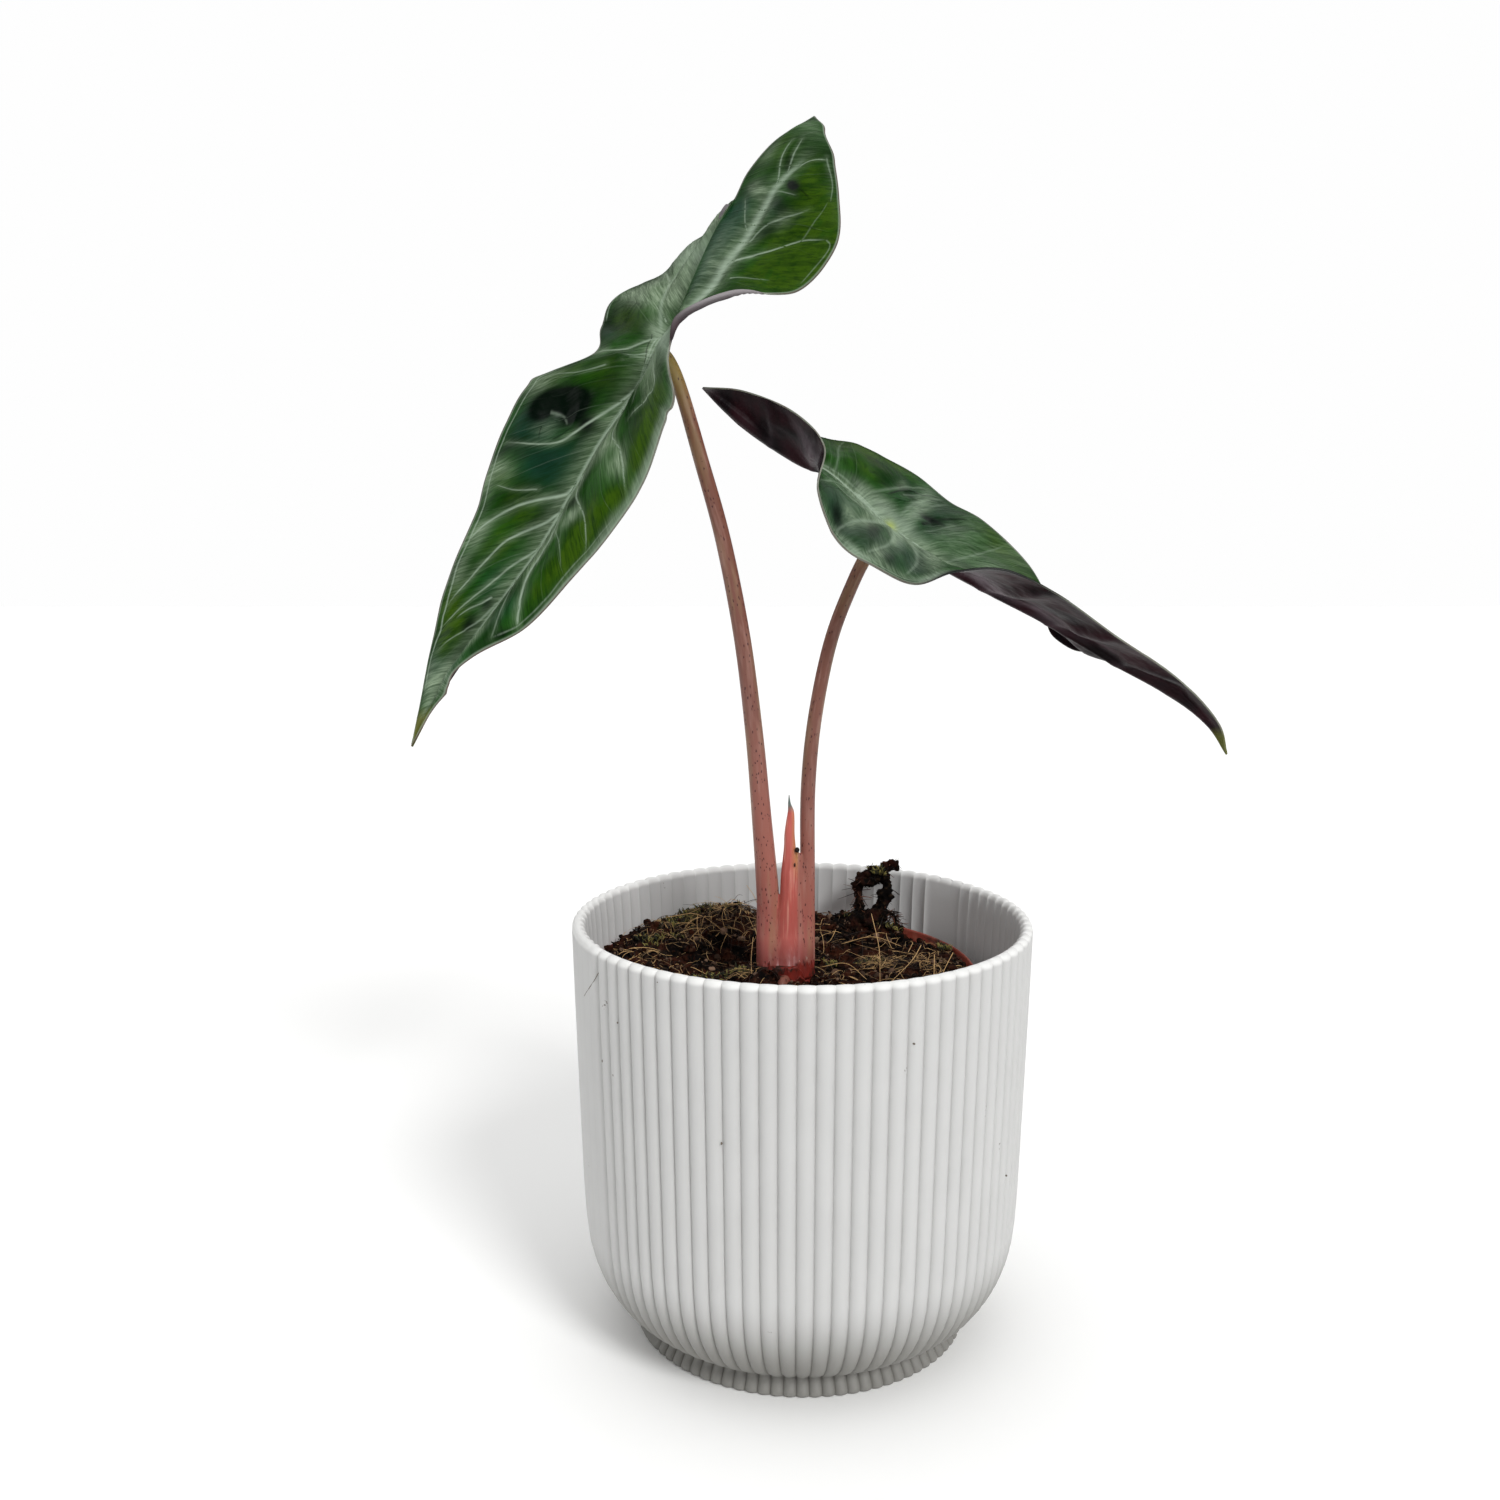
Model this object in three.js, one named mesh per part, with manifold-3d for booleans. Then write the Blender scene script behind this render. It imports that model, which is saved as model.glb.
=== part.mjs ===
// A young pink dragon alocasia in a thin nursery pot that stands in a ribbed cover pot.
// Millimetres, +Z up. The origin is the centre of the cover pot's underside, and the front faces -Y.

import * as THREE from "three";
import { mergeVertices } from "three/addons/utils/BufferGeometryUtils.js";
import Module from "manifold-3d";

const wasm = await Module();
wasm.setup();

// Clearance between pieces that rest on or against each other
const GAP = 0.3;

// Cover pot: [radius over the rib crests, height] from the underside to the rim
const COVER_HEIGHT = 130;
const COVER_OUTSIDE = [
  [51.6, 0],
  [52.1, 1],
  [49.5, 5],
  [55.6, 9],
  [61.4, 16],
  [66.8, 30],
  [68.3, 55],
  [70.35, COVER_HEIGHT - 1.2],
  [69.6, COVER_HEIGHT],
];
const COVER_FLOOR = 6.5;
const COVER_INSIDE = [
  [45.5, COVER_FLOOR],
  [49, 8.5],
  [57.4, 16],
  [63.2, 30],
  [65, 55],
  [66.4, COVER_HEIGHT - 1.4],
  [67.3, COVER_HEIGHT],
];
const RIB_COUNT = 84;
const RIB_DEPTH = 0.9;
const RIB_PHASE = THREE.MathUtils.degToRad(-2.84);
const FACETS_PER_RIB = 3;
const FOOT_RECESS = { inner: 14, outer: 44, depth: 1.2, draft: 1 };

// Nursery pot: pushed to the left inside the cover pot, standing on its floor
const NURSERY_CENTRE = [-6, 0];
const NURSERY_BASE_Z = COVER_FLOOR + GAP;
const NURSERY_RIM_Z = 114;
const NURSERY_WALL = 0.9;
const NURSERY_BASE_RADIUS = 38.5;
const NURSERY_TOP_RADIUS = 57.8;
const NURSERY_RIM_RADIUS = 59.8;
const NURSERY_RIM_HEIGHT = 6;
const NURSERY_SEGMENTS = 48;
const DRAIN_HOLES = { count: 6, radius: 4, circle: 26 };

// Soil: level round the stem, heaped at the rear left and the sides
const SOIL_LEVEL = 110;
const SOIL_HEAPS = [
  { x: -26, y: 44, height: 9.5, wide: 22, deep: 14 },
  { x: -54, y: 12, height: 6, wide: 14, deep: 24 },
  { x: 18, y: 48, height: 6, wide: 20, deep: 12 },
  { x: 42, y: 4, height: 3, wide: 12, deep: 22 },
];
const SOIL_RINGS = 8;
const SOIL_SEGMENTS = 36;
const CRUMBS = { count: 32, smallest: 1.3, largest: 2.8, spread: 0.93 };
const FIBRES = { count: 26, radius: 0.45, shortest: 9, longest: 20, spread: 0.8, steps: 4 };

// Stem base: an upright corm with the rings of old scale leaves
const CORM_CENTRE = [-4.6, 0.2];
const CORM_TOP = 115.5;
const CORM_BOTTOM = 84;
const CORM_RADIUS = 8.8;
const CORM_FLATTENING = 0.86;
const CORM_SEGMENTS = 24;

// Stalks: [x, y, z, radius] along the middle line, from the stem base up
const LEFT_STALK = [
  [-10, 1.2, CORM_TOP + GAP, 3.6],
  [-10.3, 0.8, 135, 3.5],
  [-12.4, -0.6, 162, 3],
  [-14.6, -1.8, 187, 2.7],
  [-18.2, -3, 216, 2.5],
  [-23.8, -4, 245, 2.3],
  [-30.4, -4.6, 269, 2.15],
  [-35.6, -4.4, 287, 2],
  [-39, -5, 295.3, 2],
  [-43, -8.5, 301, 2.2],
];
const RIGHT_STALK = [
  [1.9, 0.9, CORM_TOP + GAP, 2.4],
  [1.8, 1, 145, 2.3],
  [1.9, 1.8, 170, 2.25],
  [4, 2.8, 192, 2.15],
  [8.6, 3.8, 214.5, 2.05],
  [15.2, 4.8, 232, 2],
  [20.6, 5, 242.5, 2.1],
  [26, 4, 251, 2.4],
];
const NEW_LEAF = [
  [-3.4, -1.5, CORM_TOP + GAP, 3],
  [-3.5, -1.5, 125, 3.3],
  [-3.8, -1.5, 136, 3.3],
  [-4.3, -1.5, 149, 2.7],
  [-3.7, -1.5, 160, 1.5],
  [-3.5, -1.5, 164, 1.1],
  [-4, -1.5, 168, 0.5],
];
const NEW_LEAF_FLATTENING = 0.75;
const STALK_SIDES = 8;
const STALK_STEPS = 18;

// Leaves. Each is drawn by guide lines that run from the front tip backwards: the rib line, which
// is the midrib and then the seam between the rear lobes, and the margin of each half. Where the
// lobes part, each half's inner edge goes on by itself. Points that face each other have the same
// place in their lists. arch lifts the middle of a half above its chord, and veins gives the
// stations at which the side veins leave the rib line. The relief is full where a half is wider
// than QUILTED_FROM, and fades out towards the tips.
const BLADE_THICKNESS = 0.8;
const ROWS_PER_STATION = 3;
const COLUMNS_PER_HALF = 5;
const TIP_CUT = 0.006;
const QUILTING = 1.1;
const QUILTED_FROM = 12;
const MIDRIB_HEIGHT = 0.9;
const MIDRIB_WIDTH = 0.12;
const VEIN_SWEEP = 1.5;
const VEIN_WIDTH = 0.24;

const LEFT_LEAF = {
  ribLine: [
    [-111, -34, 188],
    [-105, -31, 200.5],
    [-98, -28, 212.5],
    [-86.5, -25, 228.5],
    [-75.5, -22, 243.5],
    [-67, -19, 258],
    [-59, -16, 272],
    [-50.5, -13, 284.5],
    [-45, -10, 293.5],
    [-41.5, -8, 301.5],
    [-37, -3, 310.5],
    [-32, 2, 322.5],
    [-26.5, 7, 334.5],
    [-21, 12, 343.5],
  ],
  left: {
    innerEdge: [
      [-17, 32, 347.5],
      [-13.5, 46, 352.5],
      [-10, 54, 355.5],
    ],
    margin: [
      [-111, -34, 188],
      [-109, -29, 200],
      [-106.5, -24, 215],
      [-101, -20, 236],
      [-95, -16, 251],
      [-91, -12, 264.5],
      [-86, -10, 277.5],
      [-78, -8, 290],
      [-60.5, -6, 298],
      [-60, 10, 307],
      [-55, 22, 317.5],
      [-44, 32, 324],
      [-33.5, 41, 334.5],
      [-24.5, 48, 344],
      [-18, 53, 350],
      [-13.5, 55, 353],
      [-10, 54, 355.5],
    ],
    arch: [0, 0.5, 1, 2, 2.5, 3, 3, 3, 4, 0, 1, 1, 0, -1, -1, 0, 0],
    veins: [3.3, 4.4, 5, 6.4, 8.6, 10.4, 11.8, 13.2],
  },
  right: {
    innerEdge: [
      [-16.5, 13, 352],
      [-8, 13, 361],
      [3, 14, 367],
    ],
    margin: [
      [-111, -34, 188],
      [-102, -33, 202],
      [-94, -31, 212.5],
      [-78, -32, 221.5],
      [-65, -32, 235],
      [-54, -33, 247.5],
      [-45, -34, 261],
      [-39.5, -36, 275.5],
      [-36.5, -38, 283.5],
      [-38, -34, 295],
      [-33.5, -24, 305.5],
      [-18, -15, 313],
      [-2, -12, 314.5],
      [8.5, -9, 327],
      [9.5, -3, 341],
      [7.5, 5, 355.5],
      [3, 14, 367],
    ],
    arch: [0, 0.5, 1, 2, 2.5, 2.5, 2.5, 2.5, 2, 0, -2, -2, 1, 3, 3, 1, 0],
    veins: [3.4, 4.6, 5.4, 6.3, 7.6, 9.6, 11.2, 12.4, 13.6],
  },
};

const RIGHT_LEAF = {
  ribLine: [
    [124.5, -14, 182.5],
    [119, -13, 192],
    [108.5, -10, 201.5],
    [90.5, -7, 211.5],
    [73, -4, 222],
    [56.5, -2, 230.5],
    [41.5, 0, 238.5],
    [33, 2, 244.5],
    [25.5, 4, 250],
    [17, 5, 257.5],
    [7.5, 6, 265.5],
    [0, 7, 268.5],
    [-11.5, 8, 275.5],
    [-22.5, 9, 283.5],
    [-30, 10, 289.5],
  ],
  left: {
    innerEdge: [],
    margin: [
      [124.5, -14, 182.5],
      [120, -18, 193],
      [107, -21, 206],
      [88, -25, 218.5],
      [70.5, -27, 230.5],
      [55, -29, 237.5],
      [41, -30, 237],
      [30, -29, 233.5],
      [18.5, -27, 238.5],
      [9, -24, 245],
      [3.5, -20, 259],
      [5.5, -14, 271.5],
      [-3, -5, 281.5],
      [-17.5, 4, 288],
      [-30, 10, 289.5],
    ],
    arch: [0, -0.5, -1, -1.5, -2, -2, 0, 1, 1, 1, 0, -2, -2, -1, 0],
    veins: [3.2, 4.6, 5.8, 7, 8.1, 9.2, 10.6, 12],
  },
  right: {
    innerEdge: [],
    margin: [
      [124.5, -14, 182.5],
      [121, -9, 191.5],
      [111.5, 1, 200.5],
      [93.5, 10, 210.5],
      [81, 18, 220],
      [71, 24, 236.5],
      [57.5, 27, 249.5],
      [47, 30, 255.5],
      [37, 32, 263.5],
      [27, 32, 269],
      [17, 30, 273.5],
      [7.5, 27, 275],
      [-5, 20, 279],
      [-19.5, 14, 285.5],
      [-30, 10, 289.5],
    ],
    arch: [0, -0.5, -1.5, -3, -4, -3, -1, 1, 2, 2, 2, 1, 0, 0, 0],
    veins: [3.4, 4.8, 6, 7.2, 8.3, 9.4, 10.8, 12.2],
  },
};

// Peat tuft: two arms of matted roots that rise from the soil and close in a ragged loop, and a
// third that lies over beside them
const TUFT_ARMS = [
  [
    [24, 42, 107, 3.6],
    [27.5, 45, 116.5, 3.2],
    [32, 49.5, 123, 2.8],
    [33.5, 52, 129, 2.4],
    [31.5, 52.5, 133, 1.6],
  ],
  [
    [22.5, 42, 107, 3.6],
    [20.5, 45, 117, 3],
    [20.5, 49, 122.5, 2.8],
    [24.5, 51.5, 128.5, 2.6],
    [31, 52.5, 131, 2],
  ],
  [
    [26, 41, 108, 2.2],
    [32, 40, 116, 1.8],
    [35.5, 37, 112, 1],
  ],
];

const TUFT_SIDES = 7;
const TUFT_STEPS = 6;

const material = (colour, roughness) =>
  new THREE.MeshStandardMaterial({ color: colour, roughness, metalness: 0 });

const part = new THREE.Group();

function addPiece(name, geometry, look) {
  const mesh = new THREE.Mesh(geometry, look);
  mesh.name = name;
  part.add(mesh);
}

// Solids for cutting and joining

function solidOf(geometry) {
  const bare = geometry.clone();
  bare.deleteAttribute("normal");
  bare.deleteAttribute("uv");
  const merged = mergeVertices(bare, 1e-3);
  return new wasm.Manifold(
    new wasm.Mesh({
      numProp: 3,
      vertProperties: new Float32Array(merged.attributes.position.array),
      triVerts: new Uint32Array(merged.index.array),
    }),
  );
}

function geometryOf(solid) {
  const mesh = solid.getMesh();
  const geometry = new THREE.BufferGeometry();
  geometry.setAttribute("position", new THREE.BufferAttribute(mesh.vertProperties, 3));
  geometry.setIndex(new THREE.BufferAttribute(mesh.triVerts, 1));
  geometry.computeVertexNormals();
  return geometry;
}

const largestBody = (solid) =>
  solid.decompose().reduce((best, body) => (body.volume() > best.volume() ? body : best));

// Turned pieces: a profile of [radius, height] points about the Z axis

function turned(profile, segments, phase = 0) {
  const points = profile.map(([radius, height]) => new THREE.Vector2(radius, height));
  return new THREE.LatheGeometry(points, segments, phase).rotateX(Math.PI / 2);
}

const toAxis = (profile) => [
  [0, profile[0][1]],
  ...profile,
  [0, profile[profile.length - 1][1]],
];

// Stalks and roots: rings of sides round a smooth line of [x, y, z, radius] points

function tapered(line, sides, steps, flattening = 1) {
  const path = new THREE.CatmullRomCurve3(line.map(([x, y, z]) => new THREE.Vector3(x, y, z)));
  path.curveType = "catmullrom";
  const radii = new THREE.SplineCurve(line.map((point, i) => new THREE.Vector2(i, point[3])));
  const position = [];
  for (let step = 0; step <= steps; step++) {
    const along = step / steps;
    const centre = path.getPoint(along);
    const tangent = path.getTangent(along);
    const radius = radii.getPoint(along).y;
    const across = new THREE.Vector3(0, 1, 0).cross(tangent).normalize();
    const deep = tangent.clone().cross(across);
    for (let side = 0; side < sides; side++) {
      const turn = (2 * Math.PI * side) / sides;
      const point = centre
        .clone()
        .addScaledVector(across, radius * Math.cos(turn))
        .addScaledVector(deep, radius * flattening * Math.sin(turn));
      position.push(point.x, point.y, point.z);
    }
  }
  const index = [];
  for (let step = 0; step < steps; step++) {
    for (let side = 0; side < sides; side++) {
      const a = step * sides + side;
      const b = step * sides + ((side + 1) % sides);
      index.push(a, b, b + sides, a, b + sides, a + sides);
    }
  }
  const last = steps * sides;
  for (let side = 1; side < sides - 1; side++) {
    index.push(0, side + 1, side, last, last + side, last + side + 1);
  }
  const geometry = new THREE.BufferGeometry();
  geometry.setAttribute("position", new THREE.Float32BufferAttribute(position, 3));
  geometry.setIndex(index);
  return geometry;
}

// Leaf blades

const vectors = (points) => points.map((point) => new THREE.Vector3(...point));

const guideLine = (points) =>
  new THREE.CatmullRomCurve3(vectors(points), false, "catmullrom", 0.5);

function between(values, along) {
  const place = along * (values.length - 1);
  const first = Math.min(Math.floor(place), values.length - 2);
  return THREE.MathUtils.lerp(values[first], values[first + 1], place - first);
}

// Height of the blade over its smooth sheet: sunken side veins, with the blade swelling between
// them, and the midrib's own ridge
function relief(half, station, across) {
  const sweep = VEIN_SWEEP * across ** 1.2;
  let vein = 0;
  for (const start of half.veins) {
    vein = Math.max(vein, Math.exp(-(((station - start + sweep) / VEIN_WIDTH) ** 2)));
  }
  const swell = QUILTING * (1 - vein) * Math.sin(Math.PI * across) ** 0.7;
  return swell - MIDRIB_HEIGHT * Math.exp(-((across / MIDRIB_WIDTH) ** 2));
}

// One half of a blade as rows of points, from the rib line (first) to the margin (last)
function bladeHalf(leaf, sideName, towardsLeft) {
  const half = leaf[sideName];
  const inner = guideLine([...leaf.ribLine, ...half.innerEdge]);
  const margin = guideLine(half.margin);
  const stations = half.margin.length - 1;
  const rows = stations * ROWS_PER_STATION;
  const points = [];
  for (let row = 0; row <= rows; row++) {
    const along = THREE.MathUtils.clamp(row / rows, TIP_CUT, 1 - TIP_CUT);
    const start = inner.getPoint(along);
    const end = margin.getPoint(along);
    const chord = end.clone().sub(start);
    const upwards = towardsLeft
      ? inner.getTangent(along).cross(chord)
      : chord.clone().cross(inner.getTangent(along));
    upwards.normalize();
    const reach = Math.min(1, chord.length() / QUILTED_FROM);
    const line = [];
    for (let column = 0; column <= COLUMNS_PER_HALF; column++) {
      const across = column / COLUMNS_PER_HALF;
      const lift =
        between(half.arch, along) * Math.sin(Math.PI * across) +
        reach * relief(half, along * stations, across);
      line.push(start.clone().addScaledVector(chord, across).addScaledVector(upwards, lift));
    }
    points.push(line);
  }
  return points;
}

function blade(leaf, thickness) {
  const points = [];
  const faces = [];
  const seamRows = (leaf.ribLine.length - 1) * ROWS_PER_STATION;
  const halves = [
    bladeHalf(leaf, "left", true).map((row) => row.reverse()),
    bladeHalf(leaf, "right", false),
  ];
  const numbers = halves.map(() => []);
  halves.forEach((rows, half) => {
    rows.forEach((row, i) => {
      numbers[half].push(
        row.map((point, column) => {
          if (half === 1 && column === 0 && i <= seamRows) {
            const shared = numbers[0][i][COLUMNS_PER_HALF];
            points[shared].add(point).multiplyScalar(0.5);
            return shared;
          }
          points.push(point);
          return points.length - 1;
        }),
      );
    });
  });
  for (const rows of numbers) {
    for (let i = 0; i + 1 < rows.length; i++) {
      for (let column = 0; column < COLUMNS_PER_HALF; column++) {
        const a = rows[i][column];
        const b = rows[i][column + 1];
        const c = rows[i + 1][column + 1];
        const d = rows[i + 1][column];
        faces.push([a, b, c], [a, c, d]);
      }
    }
  }
  return thickened(points, faces, thickness);
}

// A sheet of triangles made into a closed blade, with the same triangles on both faces
function thickened(points, faces, thickness) {
  const normals = points.map(() => new THREE.Vector3());
  const edges = new Map();
  for (const face of faces) {
    const [a, b, c] = face.map((number) => points[number]);
    const normal = b.clone().sub(a).cross(c.clone().sub(a));
    face.forEach((number, i) => {
      normals[number].add(normal);
      edges.set(`${number} ${face[(i + 1) % 3]}`, [number, face[(i + 1) % 3]]);
    });
  }
  const count = points.length;
  const position = [];
  for (const side of [0.5, -0.5]) {
    points.forEach((point, i) => {
      const normal = normals[i].clone().normalize();
      const moved = point.clone().addScaledVector(normal, side * thickness);
      position.push(moved.x, moved.y, moved.z);
    });
  }
  const index = [];
  for (const [a, b, c] of faces) {
    index.push(a, b, c, count + a, count + c, count + b);
  }
  for (const [a, b] of edges.values()) {
    if (!edges.has(`${b} ${a}`)) {
      index.push(b, a, count + a, b, count + a, count + b);
    }
  }
  const geometry = new THREE.BufferGeometry();
  geometry.setAttribute("position", new THREE.Float32BufferAttribute(position, 3));
  geometry.setIndex(index);
  return geometry;
}

// Cover pot
{
  const outside = turned(toAxis(COVER_OUTSIDE), RIB_COUNT * FACETS_PER_RIB, RIB_PHASE);
  const position = outside.attributes.position;
  const points = COVER_OUTSIDE.length + 2;
  for (let i = 0; i < position.count; i++) {
    const meridian = Math.floor(i / points);
    const radius = Math.hypot(position.getX(i), position.getY(i));
    if (meridian % FACETS_PER_RIB === 0 && radius > 1) {
      const scale = (radius - RIB_DEPTH) / radius;
      position.setXY(i, position.getX(i) * scale, position.getY(i) * scale);
    }
  }
  const inside = turned(toAxis([...COVER_INSIDE, [67.9, COVER_HEIGHT + 1]]), RIB_COUNT);
  const { inner, outer, depth, draft } = FOOT_RECESS;
  const recess = turned(
    [
      [inner, -1],
      [outer, -1],
      [outer - draft, depth],
      [inner + draft, depth],
      [inner, -1],
    ],
    RIB_COUNT,
  );
  const pot = solidOf(outside).subtract(solidOf(inside)).subtract(solidOf(recess));
  addPiece("cover_pot", geometryOf(pot), material("#e4e4e1", 0.55));
}

// Nursery pot
const nurseryLip = NURSERY_RIM_Z - NURSERY_RIM_HEIGHT;
const nurseryInside = [
  [NURSERY_BASE_RADIUS - 2 * NURSERY_WALL, NURSERY_BASE_Z + NURSERY_WALL],
  [NURSERY_BASE_RADIUS, NURSERY_BASE_Z + 3],
  [NURSERY_TOP_RADIUS - NURSERY_WALL, nurseryLip],
  [NURSERY_RIM_RADIUS - NURSERY_WALL, nurseryLip + 1],
  [NURSERY_RIM_RADIUS - NURSERY_WALL, NURSERY_RIM_Z],
];
{
  const outside = [
    [NURSERY_BASE_RADIUS - NURSERY_WALL, NURSERY_BASE_Z],
    [NURSERY_BASE_RADIUS + NURSERY_WALL, NURSERY_BASE_Z + 3],
    [NURSERY_TOP_RADIUS, nurseryLip],
    [NURSERY_RIM_RADIUS, nurseryLip],
    [NURSERY_RIM_RADIUS, NURSERY_RIM_Z],
  ];
  const open = [...nurseryInside, [NURSERY_RIM_RADIUS - NURSERY_WALL, NURSERY_RIM_Z + 1]];
  let pot = solidOf(turned(toAxis(outside), NURSERY_SEGMENTS)).subtract(
    solidOf(turned(toAxis(open), NURSERY_SEGMENTS)),
  );
  for (let i = 0; i < DRAIN_HOLES.count; i++) {
    const turn = (2 * Math.PI * i) / DRAIN_HOLES.count;
    const hole = new THREE.CylinderGeometry(DRAIN_HOLES.radius, DRAIN_HOLES.radius, 6, 12)
      .rotateX(Math.PI / 2)
      .translate(
        DRAIN_HOLES.circle * Math.cos(turn),
        DRAIN_HOLES.circle * Math.sin(turn),
        NURSERY_BASE_Z,
      );
    pot = pot.subtract(solidOf(hole));
  }
  const geometry = geometryOf(pot).translate(...NURSERY_CENTRE, 0);
  addPiece("nursery_pot", geometry, material("#8a3b2a", 0.6));
}

// Soil

// A small seeded random generator, so that the crumbs and fibres lie the same each time
let seed = 20240517;
function random() {
  seed = (seed * 1664525 + 1013904223) % 4294967296;
  return seed / 4294967296;
}

const randomBetween = (low, high) => low + (high - low) * random();

function soilHeight(x, y) {
  let height = SOIL_LEVEL;
  for (const heap of SOIL_HEAPS) {
    height +=
      heap.height * Math.exp(-(((x - heap.x) / heap.wide) ** 2) - ((y - heap.y) / heap.deep) ** 2);
  }
  return height + 0.7 * Math.sin(0.33 * x + 1) * Math.sin(0.29 * y) + 0.4 * Math.sin(0.8 * x + y);
}

// A point on the soil at a share of its radius, from 0 to 1, in a direction
function onSoil(share, turn) {
  const reach = share * (NURSERY_RIM_RADIUS - NURSERY_WALL - GAP);
  const x = NURSERY_CENTRE[0] + reach * Math.cos(turn);
  const y = NURSERY_CENTRE[1] + reach * Math.sin(turn);
  return new THREE.Vector3(x, y, soilHeight(x, y));
}

const cormHole = turned(
  toAxis([
    [CORM_RADIUS + GAP, CORM_BOTTOM - GAP],
    [CORM_RADIUS + GAP, CORM_TOP + 20],
  ]),
  CORM_SEGMENTS,
)
  .scale(1, CORM_FLATTENING, 1)
  .translate(...CORM_CENTRE, 0);

let soil;
{
  // The filling follows the nursery pot's wall, and its top is raised by the soil's height
  const wall = nurseryInside.slice(0, 4).map(([radius, height]) => [radius - GAP, height]);
  const top = [];
  for (let ring = SOIL_RINGS; ring >= 1; ring--) {
    top.push([((NURSERY_RIM_RADIUS - NURSERY_WALL - GAP) * ring) / SOIL_RINGS, SOIL_LEVEL]);
  }
  wall[0][1] += GAP;
  const filling = turned(toAxis([...wall, ...top]), SOIL_SEGMENTS);
  filling.translate(...NURSERY_CENTRE, 0);
  const position = filling.attributes.position;
  for (let i = 0; i < position.count; i++) {
    if (position.getZ(i) > SOIL_LEVEL - 0.01) {
      position.setZ(i, soilHeight(position.getX(i), position.getY(i)));
    }
  }
  const lumps = [];
  for (let i = 0; i < CRUMBS.count; i++) {
    const size = randomBetween(CRUMBS.smallest, CRUMBS.largest);
    const place = onSoil(Math.sqrt(random()) * CRUMBS.spread, 2 * Math.PI * random());
    const crumb = new THREE.IcosahedronGeometry(size, 0)
      .rotateX(Math.PI * random())
      .scale(1, randomBetween(0.6, 1), 0.8)
      .rotateZ(Math.PI * random())
      .translate(place.x, place.y, place.z + 0.2 * size);
    lumps.push(solidOf(crumb));
  }
  const section = new THREE.Shape();
  for (let side = 0; side < 3; side++) {
    const turn = (2 * Math.PI * side) / 3;
    const corner = [FIBRES.radius * Math.cos(turn), FIBRES.radius * Math.sin(turn)];
    if (side === 0) {
      section.moveTo(...corner);
    } else {
      section.lineTo(...corner);
    }
  }
  for (let i = 0; i < FIBRES.count; i++) {
    const length = randomBetween(FIBRES.shortest, FIBRES.longest);
    const middle = onSoil(Math.sqrt(random()) * FIBRES.spread, 2 * Math.PI * random());
    const heading = Math.PI * random();
    const run = new THREE.Vector3(Math.cos(heading), Math.sin(heading), 0);
    const ends = [-0.5, -0.15, 0.2, 0.5].map((share) => {
      const point = middle.clone().addScaledVector(run, share * length);
      const raised = Math.abs(share) < 0.5 ? randomBetween(0.4, 2.2) : -1;
      return point.setZ(soilHeight(point.x, point.y) + raised);
    });
    const fibre = new THREE.ExtrudeGeometry(section, {
      steps: FIBRES.steps,
      bevelEnabled: false,
      extrudePath: new THREE.CatmullRomCurve3(ends),
    });
    lumps.push(solidOf(fibre));
  }
  soil = solidOf(filling);
  for (const lump of lumps) {
    soil = soil.add(lump);
  }
  // Crumbs and fibres stay inside the nursery pot's mouth and off the stem base
  const mouthRadius = NURSERY_RIM_RADIUS - NURSERY_WALL - GAP;
  const mouth = turned(
    toAxis([
      [mouthRadius, NURSERY_BASE_Z],
      [mouthRadius, CORM_TOP + 30],
    ]),
    SOIL_SEGMENTS,
  ).translate(...NURSERY_CENTRE, 0);
  soil = largestBody(soil.intersect(solidOf(mouth)).subtract(solidOf(cormHole)));
  addPiece("soil", geometryOf(soil), material("#2b1d14", 0.95));
}

// Peat tuft, sitting on the soil with a gap upwards and to each side
{
  const arms = TUFT_ARMS.map((arm) => solidOf(tapered(arm, TUFT_SIDES, TUFT_STEPS)));
  let tuft = arms.reduce((all, arm) => all.add(arm));
  const shifts = [
    [0, 0, GAP],
    [GAP, 0, 0],
    [-GAP, 0, 0],
    [0, GAP, 0],
    [0, -GAP, 0],
  ];
  for (const shift of shifts) {
    tuft = tuft.subtract(solidOf(geometryOf(soil).translate(...shift)));
  }
  addPiece("peat_tuft", geometryOf(largestBody(tuft)), material("#1f150e", 0.95));
}

// Corm
{
  const profile = [
    [4.5, CORM_BOTTOM],
    [7.4, CORM_BOTTOM + 6],
    [8.2, 104],
    [7.7, 104.8],
    [8.5, 109.5],
    [8, 110.3],
    [CORM_RADIUS, 114],
    [8.3, CORM_TOP],
  ];
  const corm = turned(toAxis(profile), CORM_SEGMENTS)
    .scale(1, CORM_FLATTENING, 1)
    .translate(...CORM_CENTRE, 0);
  addPiece("corm", corm, material("#4a1715", 0.7));
}

// Leaves, and the stalks that end just under them

function addLeafAndStalk(side, leaf, stalkLine) {
  const bladeRoom = solidOf(blade(leaf, BLADE_THICKNESS + 2 * GAP));
  const stalk = solidOf(tapered(stalkLine, STALK_SIDES, STALK_STEPS));
  const seated = largestBody(stalk.subtract(bladeRoom));
  addPiece(`petiole_${side}`, geometryOf(seated), material("#a8635c", 0.5));
  addPiece(`leaf_${side}`, blade(leaf, BLADE_THICKNESS), material("#2f5a2c", 0.4));
}

addLeafAndStalk("left", LEFT_LEAF, LEFT_STALK);
addLeafAndStalk("right", RIGHT_LEAF, RIGHT_STALK);

// New leaf, rolled up in its sheath between the stalks
const newLeaf = tapered(NEW_LEAF, STALK_SIDES, STALK_STEPS, NEW_LEAF_FLATTENING);
addPiece("new_leaf", newLeaf, material("#c96a5e", 0.45));

export default part;
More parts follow.
